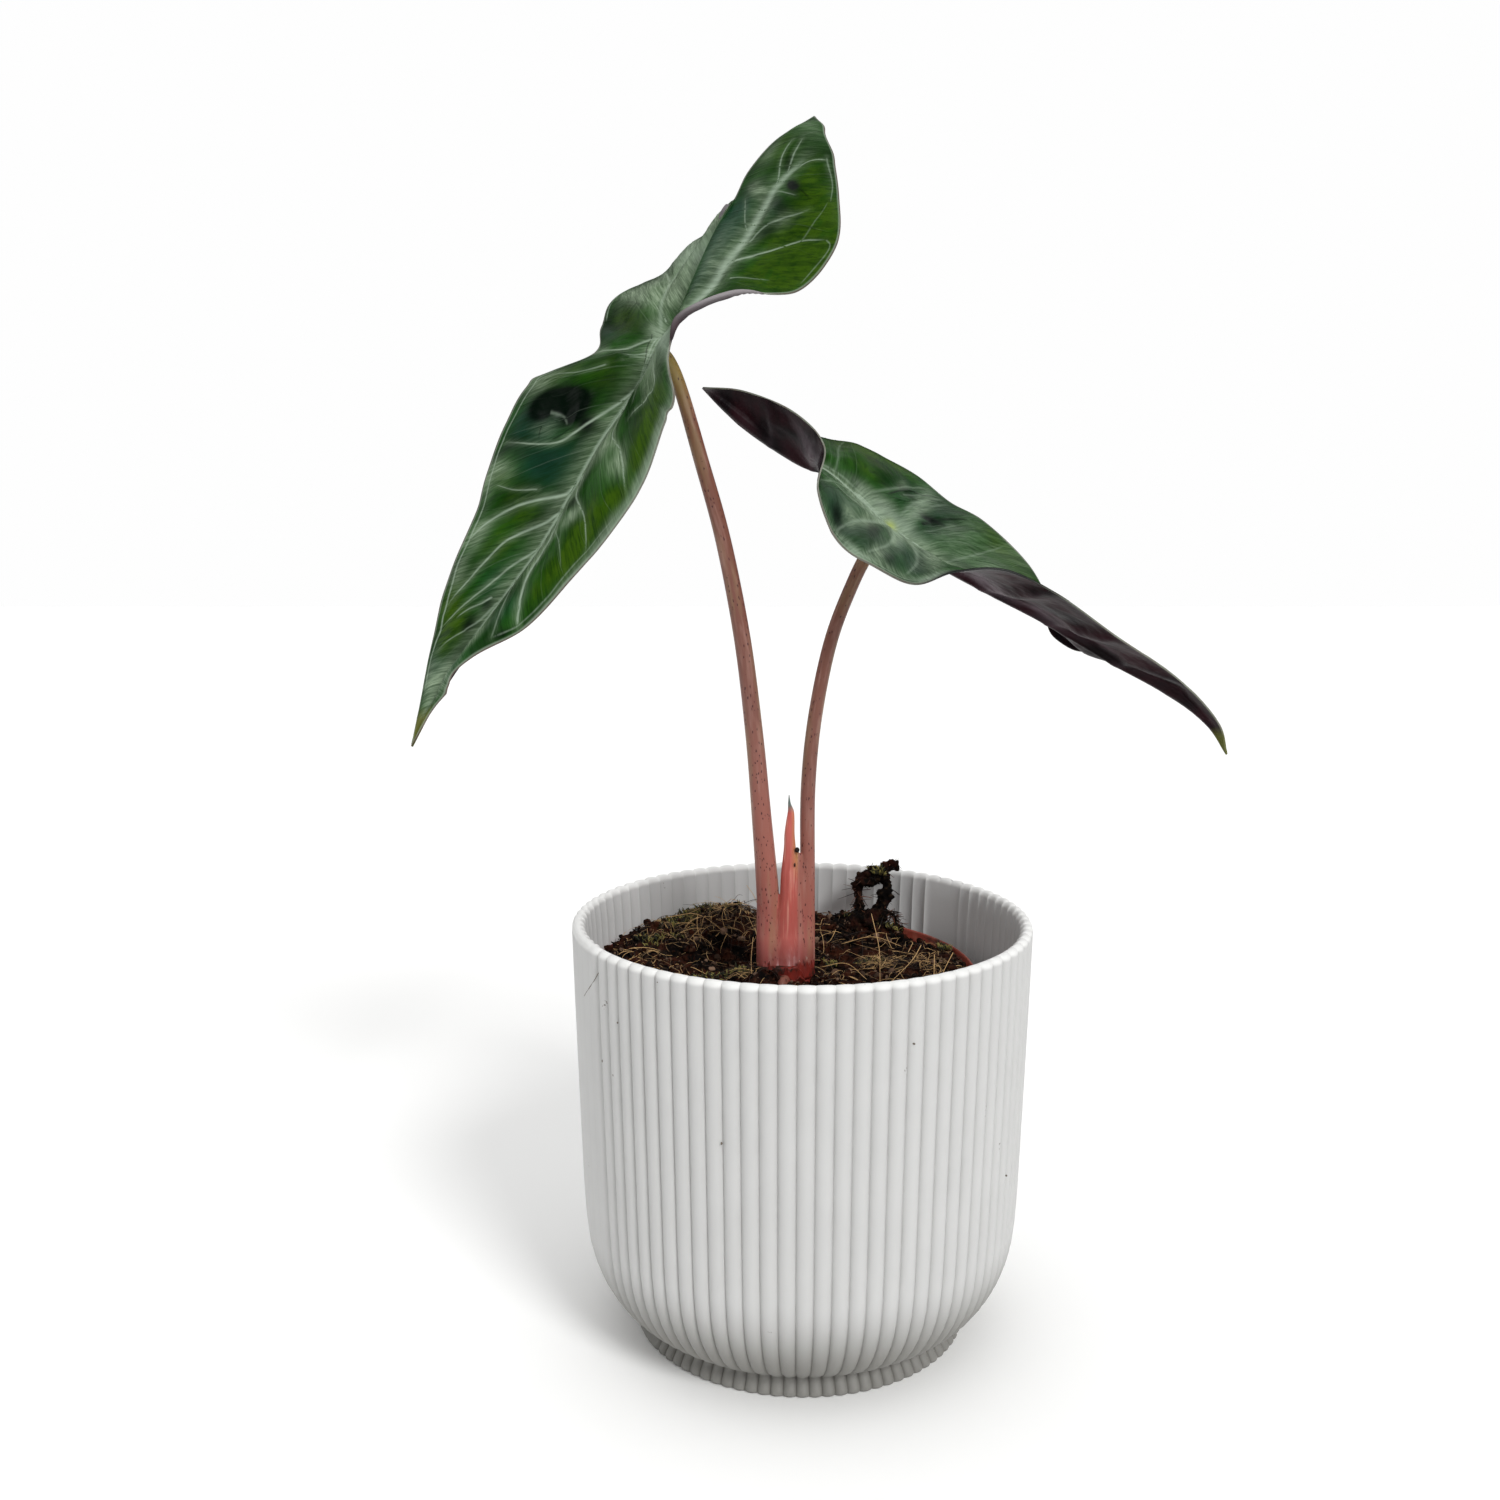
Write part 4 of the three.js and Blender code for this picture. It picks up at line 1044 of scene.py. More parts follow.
def paintStalk(add):
    # The colour of a stalk, and the streaks along it
    place = add("Attribute", attribute_name="stalkPlace").outputs["Vector"]
    share = add("Attribute", attribute_name="share").outputs["Fac"]
    length = add("Mapping", {"Vector": place, "Scale": (1, 1, 0.12)})
    streaks = add("TexNoise", {"Vector": length, "Scale": 1 / 1.6, "Detail": 3.0})
    # Rosy at the base, dusty above, and olive where the leaf takes over
    heights = {"base": 0, "low": 0.16, "middle": 0.42, "upper": 0.88, "top": 1}
    colour = add("ValToRGB", {"Fac": share}, stops=[(where, stalks[name]) for name, where in heights.items()])
    paler = add("MapRange", (streaks, 0.5, 0.75, 0, 0.28))
    colour = add("MixRGB", (paler, colour, stalks["pale"]))
    blotches = add("TexNoise", {"Vector": length, "Scale": 1 / 4, "Detail": 2.0})
    greenish = add("MapRange", (blotches, 0.5, 0.68, 0, 0.4))
    colour = add("MixRGB", (greenish, colour, stalks["greenish"]))
    # Dashes about 0.3 mm wide and 0.8 mm long, closer together near the base
    dashPlace = add("Mapping", {"Vector": place, "Scale": (1, 1, 0.45)})
    jitter = add("TexNoise", {"Vector": place, "Scale": 1 / 0.8}).outputs["Color"]
    dashPlace = add("MixRGB", (0.6, dashPlace, jitter), blend_type="ADD")
    cells = add("TexVoronoi", {"Vector": dashPlace, "Scale": 1 / 0.85})
    dash = add("MapRange", (cells.outputs["Distance"], 0.29, 0.17))
    chosen = add("SeparateColor", {"Color": cells.outputs["Color"]})
    rare = add("MapRange", (share, 0, 0.5, 0.12, 0.55))
    kept = add("Math", (chosen, rare), operation="GREATER_THAN")
    mark = add("Math", (dash, kept), operation="MULTIPLY")
    mark = add("Math", (mark, 0.85), operation="MULTIPLY")
    colour = add("MixRGB", (mark, colour, stalks["speckle"]))
    return colour, streaks


def makeStalkSkin():
    # Living stalk: a smooth waxy skin over pink flesh, with short dark dashes along it and a soft gloss
    material, add = newMaterial("petioleWaxyPink")
    colour, streaks = paintStalk(add)
    bump = add("Bump", {"Height": streaks, "Strength": 0.25, "Distance": 0.0003})
    skin = add("BsdfPrincipled",
               {"Base Color": colour, "Roughness": 0.42, "IOR": 1.42, "Normal": bump, "Subsurface Weight": 0.15,
                "Subsurface Radius": (0.003, 0.0012, 0.001), "Subsurface Scale": 0.5})
    add("OutputMaterial", {"Surface": skin})
    return material


def makeNewLeaf():
    line = newLeaf["line"]
    rings = smoothLine(line, np.linspace(0, len(line) - 1, 110))[0]
    sides = 40
    around = np.linspace(0, 2 * np.pi, sides, endpoint=False)
    # The blade is rolled on itself: its outer edge is a small step that winds slowly round the spear
    points = []
    for number, (x, y, z, wide, deep) in enumerate(rings):
        edge = 4.2 + 1.6 * number / len(rings)
        step = 1 - 0.13 * (((around - edge) / (2 * np.pi)) % 1.0) ** 3
        points.append(np.stack([x + wide * step * np.cos(around), y + deep * step * np.sin(around),
                                np.full(sides, z)], 1))
    return flared(np.vstack(points)), ringFaces(len(rings), sides)


def makeNewLeafSkin(withSheaths):
    # A leaf still rolled up: thin wet-looking coral tissue with fine pale veins along it. On the sheaths it
    # goes over into the pink of the stalks.
    material, add = newMaterial("sheathWaxyCoral" if withSheaths else "newLeafRolledCoral")
    place = add("TexCoord").outputs["Object"]
    length = add("Mapping", {"Vector": place, "Scale": (1, 1, 0.06)})
    streaks = add("TexNoise", {"Vector": length, "Scale": 1000 / 0.9, "Detail": 3.0})
    colour = add("MixRGB", (streaks, newLeaf["deep"], newLeaf["coral"]))
    height = add("SeparateXYZ", {"Vector": place})
    threads = add("MapRange", (streaks, 0.56, 0.7, 0, 0.6))
    colour = add("MixRGB", (threads, colour, newLeaf["pale"]))
    # Greener just under the notch, beside the right stalk
    under = add("MapRange", (height.outputs["Z"], 0.141, 0.149))
    beside = add("MapRange", (height.outputs["X"], -0.0035, -0.0015))
    green = add("Math", (under, beside), operation="MULTIPLY")
    green = add("Math", (green, 0.7), operation="MULTIPLY")
    colour = add("MixRGB", (green, colour, newLeaf["sheathGreen"]))
    low = add("MapRange", (height.outputs["Z"], 0.132, 0.117, 0, 0.7))
    colour = add("MixRGB", (low, colour, stalks["base"]))
    foot = add("MapRange", (height.outputs["Z"], 0.1235, 0.117, 0, 0.75))
    tip = add("MapRange", (height.outputs["Z"], 0.1625, 0.165))
    colour = add("MixRGB", (tip, colour, newLeaf["tip"]))
    if withSheaths:
        belongs = add("Attribute", attribute_name="belongs").outputs["Fac"]
        colour = add("MixRGB", (belongs, colour, paintStalk(add)[0]))
    colour = add("MixRGB", (foot, colour, stalks["foot"]))
    bump = add("Bump", {"Height": streaks, "Strength": 0.35, "Distance": 0.0003})
    skin = add("BsdfPrincipled",
               {"Base Color": colour, "Roughness": 0.36, "IOR": 1.42, "Normal": bump, "Subsurface Weight": 0.2,
                "Subsurface Radius": (0.003, 0.0012, 0.001), "Subsurface Scale": 0.5})
    add("OutputMaterial", {"Surface": skin})
    return material


stalkSkin = makeStalkSkin()
for side in ("left", "right"):
    points, faces, straight, share = makeStalk(side)
    makePiece(f"petiole{side.capitalize()}", points, faces, [stalkSkin], f"petiole_{side}",
              {"stalkPlace": straight, "share": share})
points, faces = makeNewLeaf()
makePiece("newLeaf", points, faces, [makeNewLeafSkin(False)], "new_leaf")
points, faces, straight, share, belongs = makeSheaths()
makePiece("petioleSheaths", points, faces, [makeNewLeafSkin(True)],
          attributes={"stalkPlace": straight, "share": share, "belongs": belongs})
# Scar: dead tissue, dry and nearly black
scarSkin, add = newMaterial("scarTissueDry")
grain = add("TexNoise", {"Vector": add("TexCoord").outputs["Object"], "Scale": 1000 / 0.8})
scarColour = add("MixRGB", (grain, newLeaf["scar"], newLeaf["scarDry"]))
add("OutputMaterial", {"Surface": add("BsdfPrincipled", {"Base Color": scarColour, "Roughness": 0.85})})
lump, lumpFaces = crumbShapes()[1]
points, faces, _ = joined([(lump * (1, 0.8, tall) * radius + place, lumpFaces)
                           for place, radius, tall in newLeaf["scars"]])
makePiece("budScar", points, faces, [scarSkin])
print("stalks and new leaf made")


# Leaves. Guide lines run from the front tip backwards: ribLine is the midrib and then the seam between
# the rear lobes, and innerEdge goes on where the lobes part. Points that face each other have the same
# number, and that number is the station.
# ribWidth: [station, half width of the midrib in mm]
# arch: mm that the blade rises between the midrib and the margin, one for each station
# veins: [width in mm, strength, [(station, share across), ...]]
# the fold shade lines: like veins, but painted shade along folds
# marginLines: [first station, last station, mm from the margin, width in mm, strength]
# waves: [station, length in stations, mm outwards], small waves of the margin
# hems: [station, length in stations, share of the width], where the margin turns up, or down if negative
# dents: [station, share across, length in stations, width, mm deep]
# Patches of colour on the upper side, for the silver of veins and painted highlights, painted sunlight, painted
# sheen, blue, painted shade and a spot, and painted sheen and lilac painted sheen on the underside: [station, share
# across, length in stations, width, amount]

leftLeaf = {
    "ribLine": [
        (-111, -34, 188), (-105, -31, 200.5), (-98, -28, 212.5), (-86.5, -25, 228.5), (-75.5, -22, 243.5),
        (-67, -19, 258), (-59, -16, 272), (-50.5, -13, 284.5), (-45, -10, 293.5), (-41.5, -8, 301.5),
        (-37, -3, 310.5), (-32, 2, 322.5), (-26.5, 7, 334.5), (-21, 12, 343.5),
    ],
    "ribWidth": [(0, 0.4), (2, 0.8), (4, 1.3), (7, 1.7), (8.6, 2.6), (9.2, 2.2), (9.7, 0.5), (13, 0.25)],
    "left": {
        "innerEdge": [(-17, 32, 347.5), (-13.5, 46, 352.5), (-10, 54, 355.5)],
        "margin": [
            (-111, -34, 188), (-109, -29, 200), (-106.5, -24, 215), (-101, -20, 236), (-95, -16, 251),
            (-91, -12, 264.5), (-86, -10, 277.5), (-78, -8, 290), (-60.5, -6, 298), (-60, 10, 307),
            (-55, 22, 317.5), (-44, 32, 324), (-33.5, 41, 334.5), (-24.5, 48, 344), (-18, 53, 350),
            (-13.5, 55, 353), (-10, 54, 355.5),
        ],
        "arch": [0, 0.5, 1, 2, 2.5, 3, 3, 3, 4, 0, 1, 1, 0, -1, -1, 0, 0],
        "waves": [(7.05, 0.12, 0.8), (4.3, 0.3, -0.4), (2.6, 0.25, 0.4), (9.6, 0.4, 2.2), (12.2, 0.6, 2)],
        "hems": [],
        "veins": [
            (1.1, 0.8, [(9.15, 0.01), (8.95, 0.13), (8.7, 0.24), (8.2, 0.52), (8.0, 0.97)]),
            (0.65, 0.9, [(7.4, 0.0), (6.85, 0.07), (6.3, 0.2), (5.95, 0.3), (5.8, 0.4), (5.7, 0.6), (5.65, 0.9)]),
            (0.75, 1, [(5.2, 0.0), (4.95, 0.07), (4.6, 0.38), (4.3, 0.6), (3.95, 0.8), (3.5, 0.95)]),
            (0.6, 0.9, [(4.7, 0.0), (4.4, 0.09), (4.05, 0.29), (3.8, 0.41), (3.35, 0.52), (3, 0.62), (2.55, 0.82)]),
            (0.45, 0.75, [(4, 0.0), (3.8, 0.06), (3.5, 0.16), (3.2, 0.24), (2.95, 0.34), (2.55, 0.57), (2.3, 0.8)]),
            (0.4, 0.6, [(3.1, 0.0), (2.65, 0.08), (2.45, 0.19), (2.35, 0.26), (2, 0.6)]),
            (0.3, 0.7, [(8.45, 0.08), (8.2, 0.22), (8.05, 0.36)]),
            (0.3, 0.6, [(8.3, 0.08), (8.0, 0.3)]),
            (0.3, 0.45, [(7.6, 0.45), (7.3, 0.6), (7.15, 0.85)]),
            (0.3, 0.5, [(4.9, 0.3), (4.75, 0.55), (4.75, 0.8)]),
            (0.35, 0.7, [(3.0, 0.12), (2.85, 0.2), (2.7, 0.35), (2.5, 0.5)]),
            (1.3, 0.5, [(9.2, 0.04), (10.3, 0.28), (11.5, 0.34), (12.6, 0.36), (13.8, 0.42), (14.8, 0.55)]),
            (0.4, 0.7, [(9.6, 0.06), (9.75, 0.15), (9.88, 0.27)]),
            (0.5, 0.6, [(10.6, 0.31), (10.9, 0.6), (11.1, 0.95)]),
            (0.5, 0.6, [(11.8, 0.35), (12.2, 0.6), (12.5, 0.95)]),
            (0.4, 0.6, [(12.9, 0.37), (13.4, 0.62), (13.7, 0.93)]),
            (0.4, 0.5, [(14.2, 0.47), (14.6, 0.7), (14.8, 0.93)]),
            (1.0, 0.3, [(6.39, 0.6), (6.37, 0.46), (6.2, 0.36)]),
        ],
        "foldShades": [
            (1.6, 0.9,
             [(6.3, 0.74), (6.45, 0.73), (6.6, 0.71), (6.78, 0.65), (6.9, 0.55), (6.78, 0.43), (6.6, 0.38)]),
            (0.8, 0.8, [(6.4, 0.38), (6.25, 0.31), (6.02, 0.35), (5.84, 0.44)]),
            (0.35, 0.8, [(6.32, 0.61), (6.25, 0.5), (6.25, 0.4)]),
            (0.35, 0.8, [(6.08, 0.59), (5.95, 0.58), (5.8, 0.55)]),
            (0.35, 0.8, [(9.1, 0.15), (8.99, 0.14), (8.47, 0.11), (7.99, 0.06)]),
            (1.6, 0.45, [(9.2, 0.93), (9.5, 0.9), (9.75, 0.76), (9.78, 0.52), (9.6, 0.32)]),
        ],
        "marginLines": [(1.2, 7.9, 2.1, 0.4, 0.75), (9.2, 12.5, 1.6, 0.35, 0.5)],
        "dents": [(6.76, 0.57, 0.3, 0.13, 2.6), (6.52, 0.44, 0.24, 0.1, 1.7), (6.1, 0.5, 0.3, 0.14, 1.6),
                  (9.35, 0.75, 0.5, 0.25, 2.2), (2.6, 0.25, 0.25, 0.12, 0.7)],
        "sun": [(4.44, 0.4, 0.4, 0.2, 0.55), (7.5, 0.35, 0.5, 0.3, 0.35), (7.15, 0.78, 0.35, 0.14, 0.45),
                (2.3, 0.45, 0.35, 0.25, 1), (2.55, 0.73, 0.35, 0.2, 0.9), (3.7, 0.45, 0.3, 0.2, 0.6),
                (4.9, 0.8, 0.2, 0.15, 0.5), (9.3, 0.6, 0.35, 0.25, 0.9)],
        "haze": [(5.05, 0.8, 0.22, 0.14, 0.9), (6.06, 0.54, 0.22, 0.13, 0.55), (4.8, 0.93, 0.4, 0.1, 0.8),
                 (3.76, 0.8, 0.3, 0.16, 0.8), (3.05, 0.82, 0.3, 0.14, 0.7), (7.0, 0.86, 0.35, 0.16, 0.9),
                 (9.25, 0.18, 0.3, 0.12, 0.5), (10.0, 0.55, 0.35, 0.35, 0.9), (10.7, 0.15, 0.5, 0.15, 1),
                 (8.7, 0.04, 0.6, 0.07, 0.9), (12.5, 0.15, 0.5, 0.12, 0.9), (10.45, 0.5, 0.35, 0.25, 0.7),
                 (11.5, 0.6, 0.6, 0.5, 0.9), (10.2, 0.12, 0.3, 0.14, 0.5), (12.4, 0.5, 0.5, 0.6, 0.6),
                 (1.4, 0.5, 0.45, 0.6, 0.9), (8.0, 0.85, 0.3, 0.2, 0.4), (10.0, 0.85, 0.2, 0.15, 0.5)],
        "silver": [(11.5, 0.3, 0.5, 0.7, 0.5), (9.2, 0.08, 0.3, 0.1, 0.35)],
        "blue": [(5.3, 0.42, 0.35, 0.22, 0.9), (5.45, 0.2, 0.5, 0.2, 0.6), (6.0, 0.6, 0.5, 0.25, 1),
                 (6.1, 0.78, 0.3, 0.15, 0.7), (3.3, 0.25, 0.5, 0.2, 0.6), (1.6, 0.4, 0.5, 0.5, 1),
                 (8.8, 0.8, 0.25, 0.15, 0.5)],
        "shade": [(6.74, 0.52, 0.26, 0.2, 1.6), (6.45, 0.69, 0.3, 0.13, 1.5), (6.5, 0.38, 0.35, 0.13, 1.4),
                  (6.3, 0.18, 0.2, 0.08, 0.6), (6.1, 0.66, 0.3, 0.2, 0.3), (5.55, 0.66, 0.28, 0.22, 0.45),
                  (6.25, 0.2, 0.25, 0.1, 0.4), (5.4, 0.35, 0.3, 0.15, 0.3), (9.3, 0.94, 0.35, 0.12, 0.4),
                  (11.25, 0.75, 0.18, 0.12, 0.5), (12.0, 0.6, 0.12, 0.1, 0.5), (2.51, 0.21, 0.14, 0.1, 0.8),
                  (2.87, 0.13, 0.12, 0.07, 0.7), (9.2, 0.5, 0.3, 0.25, 0.45), (9.6, 0.78, 0.35, 0.2, 0.3),
                  (9.0, 0.85, 0.2, 0.15, 0.3)],
        "lilac": [(13.4, 0.7, 1.2, 0.6, 0.8), (12.6, 0.05, 0.6, 0.14, 1.2)],
    },
    "right": {
        "innerEdge": [(-16.5, 13, 352), (-8, 13, 361), (3, 14, 367)],
        "margin": [
            (-111, -34, 188), (-102, -33, 202), (-94, -31, 212.5), (-78, -32, 221.5), (-65, -32, 235),
            (-54, -33, 247.5), (-45, -34, 261), (-39.5, -36, 275.5), (-36.5, -38, 283.5), (-38, -34, 295),
            (-33.5, -24, 305.5), (-18, -15, 313), (-2, -12, 314.5), (8.5, -9, 327), (9.5, -3, 341),
            (7.5, 5, 355.5), (3, 14, 367),
        ],
        "arch": [0, 0.5, 1, 2, 2.5, 2.5, 2.5, 2.5, 2, 0, -2, -2, 1, 3, 3, 1, 0],
        "waves": [(1.62, 0.26, -1.9), (1.03, 0.13, 1.2), (0.6, 0.2, -0.9), (8.15, 0.45, 0.9), (7.45, 0.14, -1.3),
                  (15.72, 0.22, 1.6), (14.9, 0.2, 0.5)],
        "hems": [(10.35, 0.85, 0.12)],
        "veins": [
            (0.4, 0.7, [(8.75, 0.05), (8.4, 0.4), (8, 0.62), (7.2, 0.62), (6.7, 0.47)]),
            (0.4, 0.5, [(7.7, 0.0), (7.4, 0.25), (7, 0.4)]),
            (0.5, 0.9, [(6.8, 0.0), (6.3, 0.21), (6.17, 0.52), (5.7, 0.85)]),
            (0.5, 0.75, [(5.5, 0.0), (5.1, 0.15), (4.9, 0.56), (4.5, 0.88)]),
            (0.9, 1, [(4.75, 0.0), (4.1, 0.2), (3.5, 0.3), (3.1, 0.65), (2.9, 0.88)]),
            (0.4, 0.45, [(3.4, 0.0), (2.9, 0.4), (2.5, 0.8)]),
            (0.3, 0.4, [(4.4, 0.15), (4.3, 0.5), (4, 0.8)]),
            (3.2, 1,
             [(9.25, 0.03), (9.9, 0.22), (10.6, 0.35), (11.45, 0.33), (12.1, 0.33), (12.8, 0.33), (13.6, 0.38),
                      (14.1, 0.48), (14.6, 0.61)]),
            (0.55, 1, [(11.4, 0.34), (11.7, 0.39), (12.15, 0.54), (12.7, 0.73), (13, 0.91)]),
            (0.3, 0.25, [(12.7, 0.74), (13.3, 0.81), (13.8, 0.9)]),
            (0.7, 0.6, [(12.1, 0.34), (12.2, 0.38), (12.7, 0.44), (13.5, 0.74)]),
            (0.4, 0.5, [(13.4, 0.37), (13.6, 0.43), (13.65, 0.62)]),
            (0.35, 0.85, [(14.1, 0.48), (14.5, 0.64), (14.7, 0.89)]),
            (0.3, 0.4, [(14.75, 0.89), (14.25, 0.94), (13.8, 0.92)]),
            (0.3, 0.4, [(13, 0.91), (12.9, 0.96), (12.4, 0.95), (12.1, 0.96)]),
            (0.4, 0.7, [(13.7, 0.38), (13.95, 0.39), (14.45, 0.35), (14.9, 0.36)]),
            (0.35, 0.6, [(14.1, 0.46), (14.6, 0.47), (15.0, 0.5)]),
            (0.4, 0.5, [(12.3, 0.33), (12.5, 0.24), (13.1, 0.13)]),
            (0.4, 0.5, [(11.2, 0.55), (11.36, 0.64), (11.75, 0.81)]),
        ],
        "foldShades": [
            (0.3, 0.85, [(9.2, 0.01), (9.06, 0.03), (8.72, 0.15), (8.35, 0.42)]),
            (0.35, 0.85, [(9.42, 0.02), (9.2, 0.2), (9.01, 0.39), (8.51, 0.63)]),
            (0.4, 0.7, [(7.44, 0.25), (7.06, 0.23), (6.71, 0.21), (6.44, 0.26)]),
            (0.9, 0.8, [(13.95, 0.5), (13.83, 0.56), (13.79, 0.66), (13.7, 0.74)]),
        ],
        "marginLines": [(2.5, 7.6, 1.7, 0.3, 0.35)],
        "dents": [(13.75, 0.52, 0.25, 0.1, 1.0), (2.7, 0.84, 0.25, 0.12, 0.5)],
        "sun": [(7.0, 0.81, 0.5, 0.13, 1), (6.35, 0.83, 0.5, 0.12, 1), (7.8, 0.75, 0.4, 0.15, 0.8),
                (5.49, 0.82, 0.3, 0.12, 0.9), (4.96, 0.69, 0.35, 0.16, 1), (4.55, 0.72, 0.35, 0.17, 0.9),
                (4.1, 0.75, 0.35, 0.2, 0.9), (3.5, 0.7, 0.3, 0.2, 0.5), (14.06, 0.7, 0.6, 0.14, 0.8),
                (13.43, 0.88, 0.8, 0.12, 1), (12.63, 0.88, 0.7, 0.15, 1), (11.86, 0.78, 0.7, 0.2, 1),
                (12.9, 0.68, 0.5, 0.13, 0.7), (12.2, 0.62, 0.5, 0.14, 0.6), (14.6, 0.25, 0.5, 0.2, 0.5)],
        "haze": [(8.5, 0.3, 0.6, 0.4, 1.2), (5.6, 0.13, 1.4, 0.1, 0.5), (8.4, 0.15, 0.9, 0.12, 0.5),
                 (5.9, 0.93, 1.6, 0.07, 0.6), (11.5, 0.15, 0.9, 0.1, 0.4), (6.1, 0.24, 0.35, 0.14, 0.9),
                 (6.0, 0.58, 0.3, 0.14, 0.85), (4.15, 0.17, 0.4, 0.12, 1.1), (4.72, 0.37, 0.22, 0.1, 1),
                 (7.69, 0.47, 0.35, 0.3, 0.6), (7.8, 0.12, 0.5, 0.1, 0.8), (2.4, 0.25, 0.3, 0.2, 0.7),
                 (14.5, 0.15, 0.3, 0.1, 0.7), (13.45, 0.22, 0.25, 0.1, 0.85), (12.92, 0.56, 0.3, 0.08, 0.5),
                 (15.4, 0.5, 0.4, 0.5, 0.45), (1.4, 0.5, 0.45, 0.6, 0.6)],
        "silver": [(9.25, 0.5, 0.4, 0.7, 1), (8.6, 0.2, 0.5, 0.3, 0.55), (7.8, 0.12, 0.4, 0.1, 0.4),
                   (6.4, 0.97, 2.4, 0.05, 0.5)],
        "blue": [(12.67, 0.13, 0.6, 0.12, 1), (11.8, 0.14, 0.7, 0.12, 1), (1.6, 0.4, 0.5, 0.5, 1),
                 (13.1, 0.42, 0.35, 0.07, 0.5), (10.8, 0.14, 0.6, 0.12, 0.8), (3.1, 0.45, 0.4, 0.2, 0.6)],
        "shade": [(13.85, 0.56, 0.1, 0.07, 1), (14.35, 0.44, 0.2, 0.04, 0.6), (4.95, 0.2, 0.18, 0.08, 0.8),
                  (3.3, 0.22, 0.3, 0.14, 0.5), (13.78, 0.57, 0.2, 0.1, 0.5), (7.2, 0.3, 0.3, 0.12, 0.4),
                  (2.69, 0.84, 0.14, 0.1, 0.8), (12.55, 0.45, 0.15, 0.08, 0.4), (13.2, 0.48, 0.2, 0.07, 0.5)],
        "lilac": [(10.6, 0.98, 0.75, 0.08, 0.95), (11.3, 0.97, 0.4, 0.07, 0.6)],
    },
}
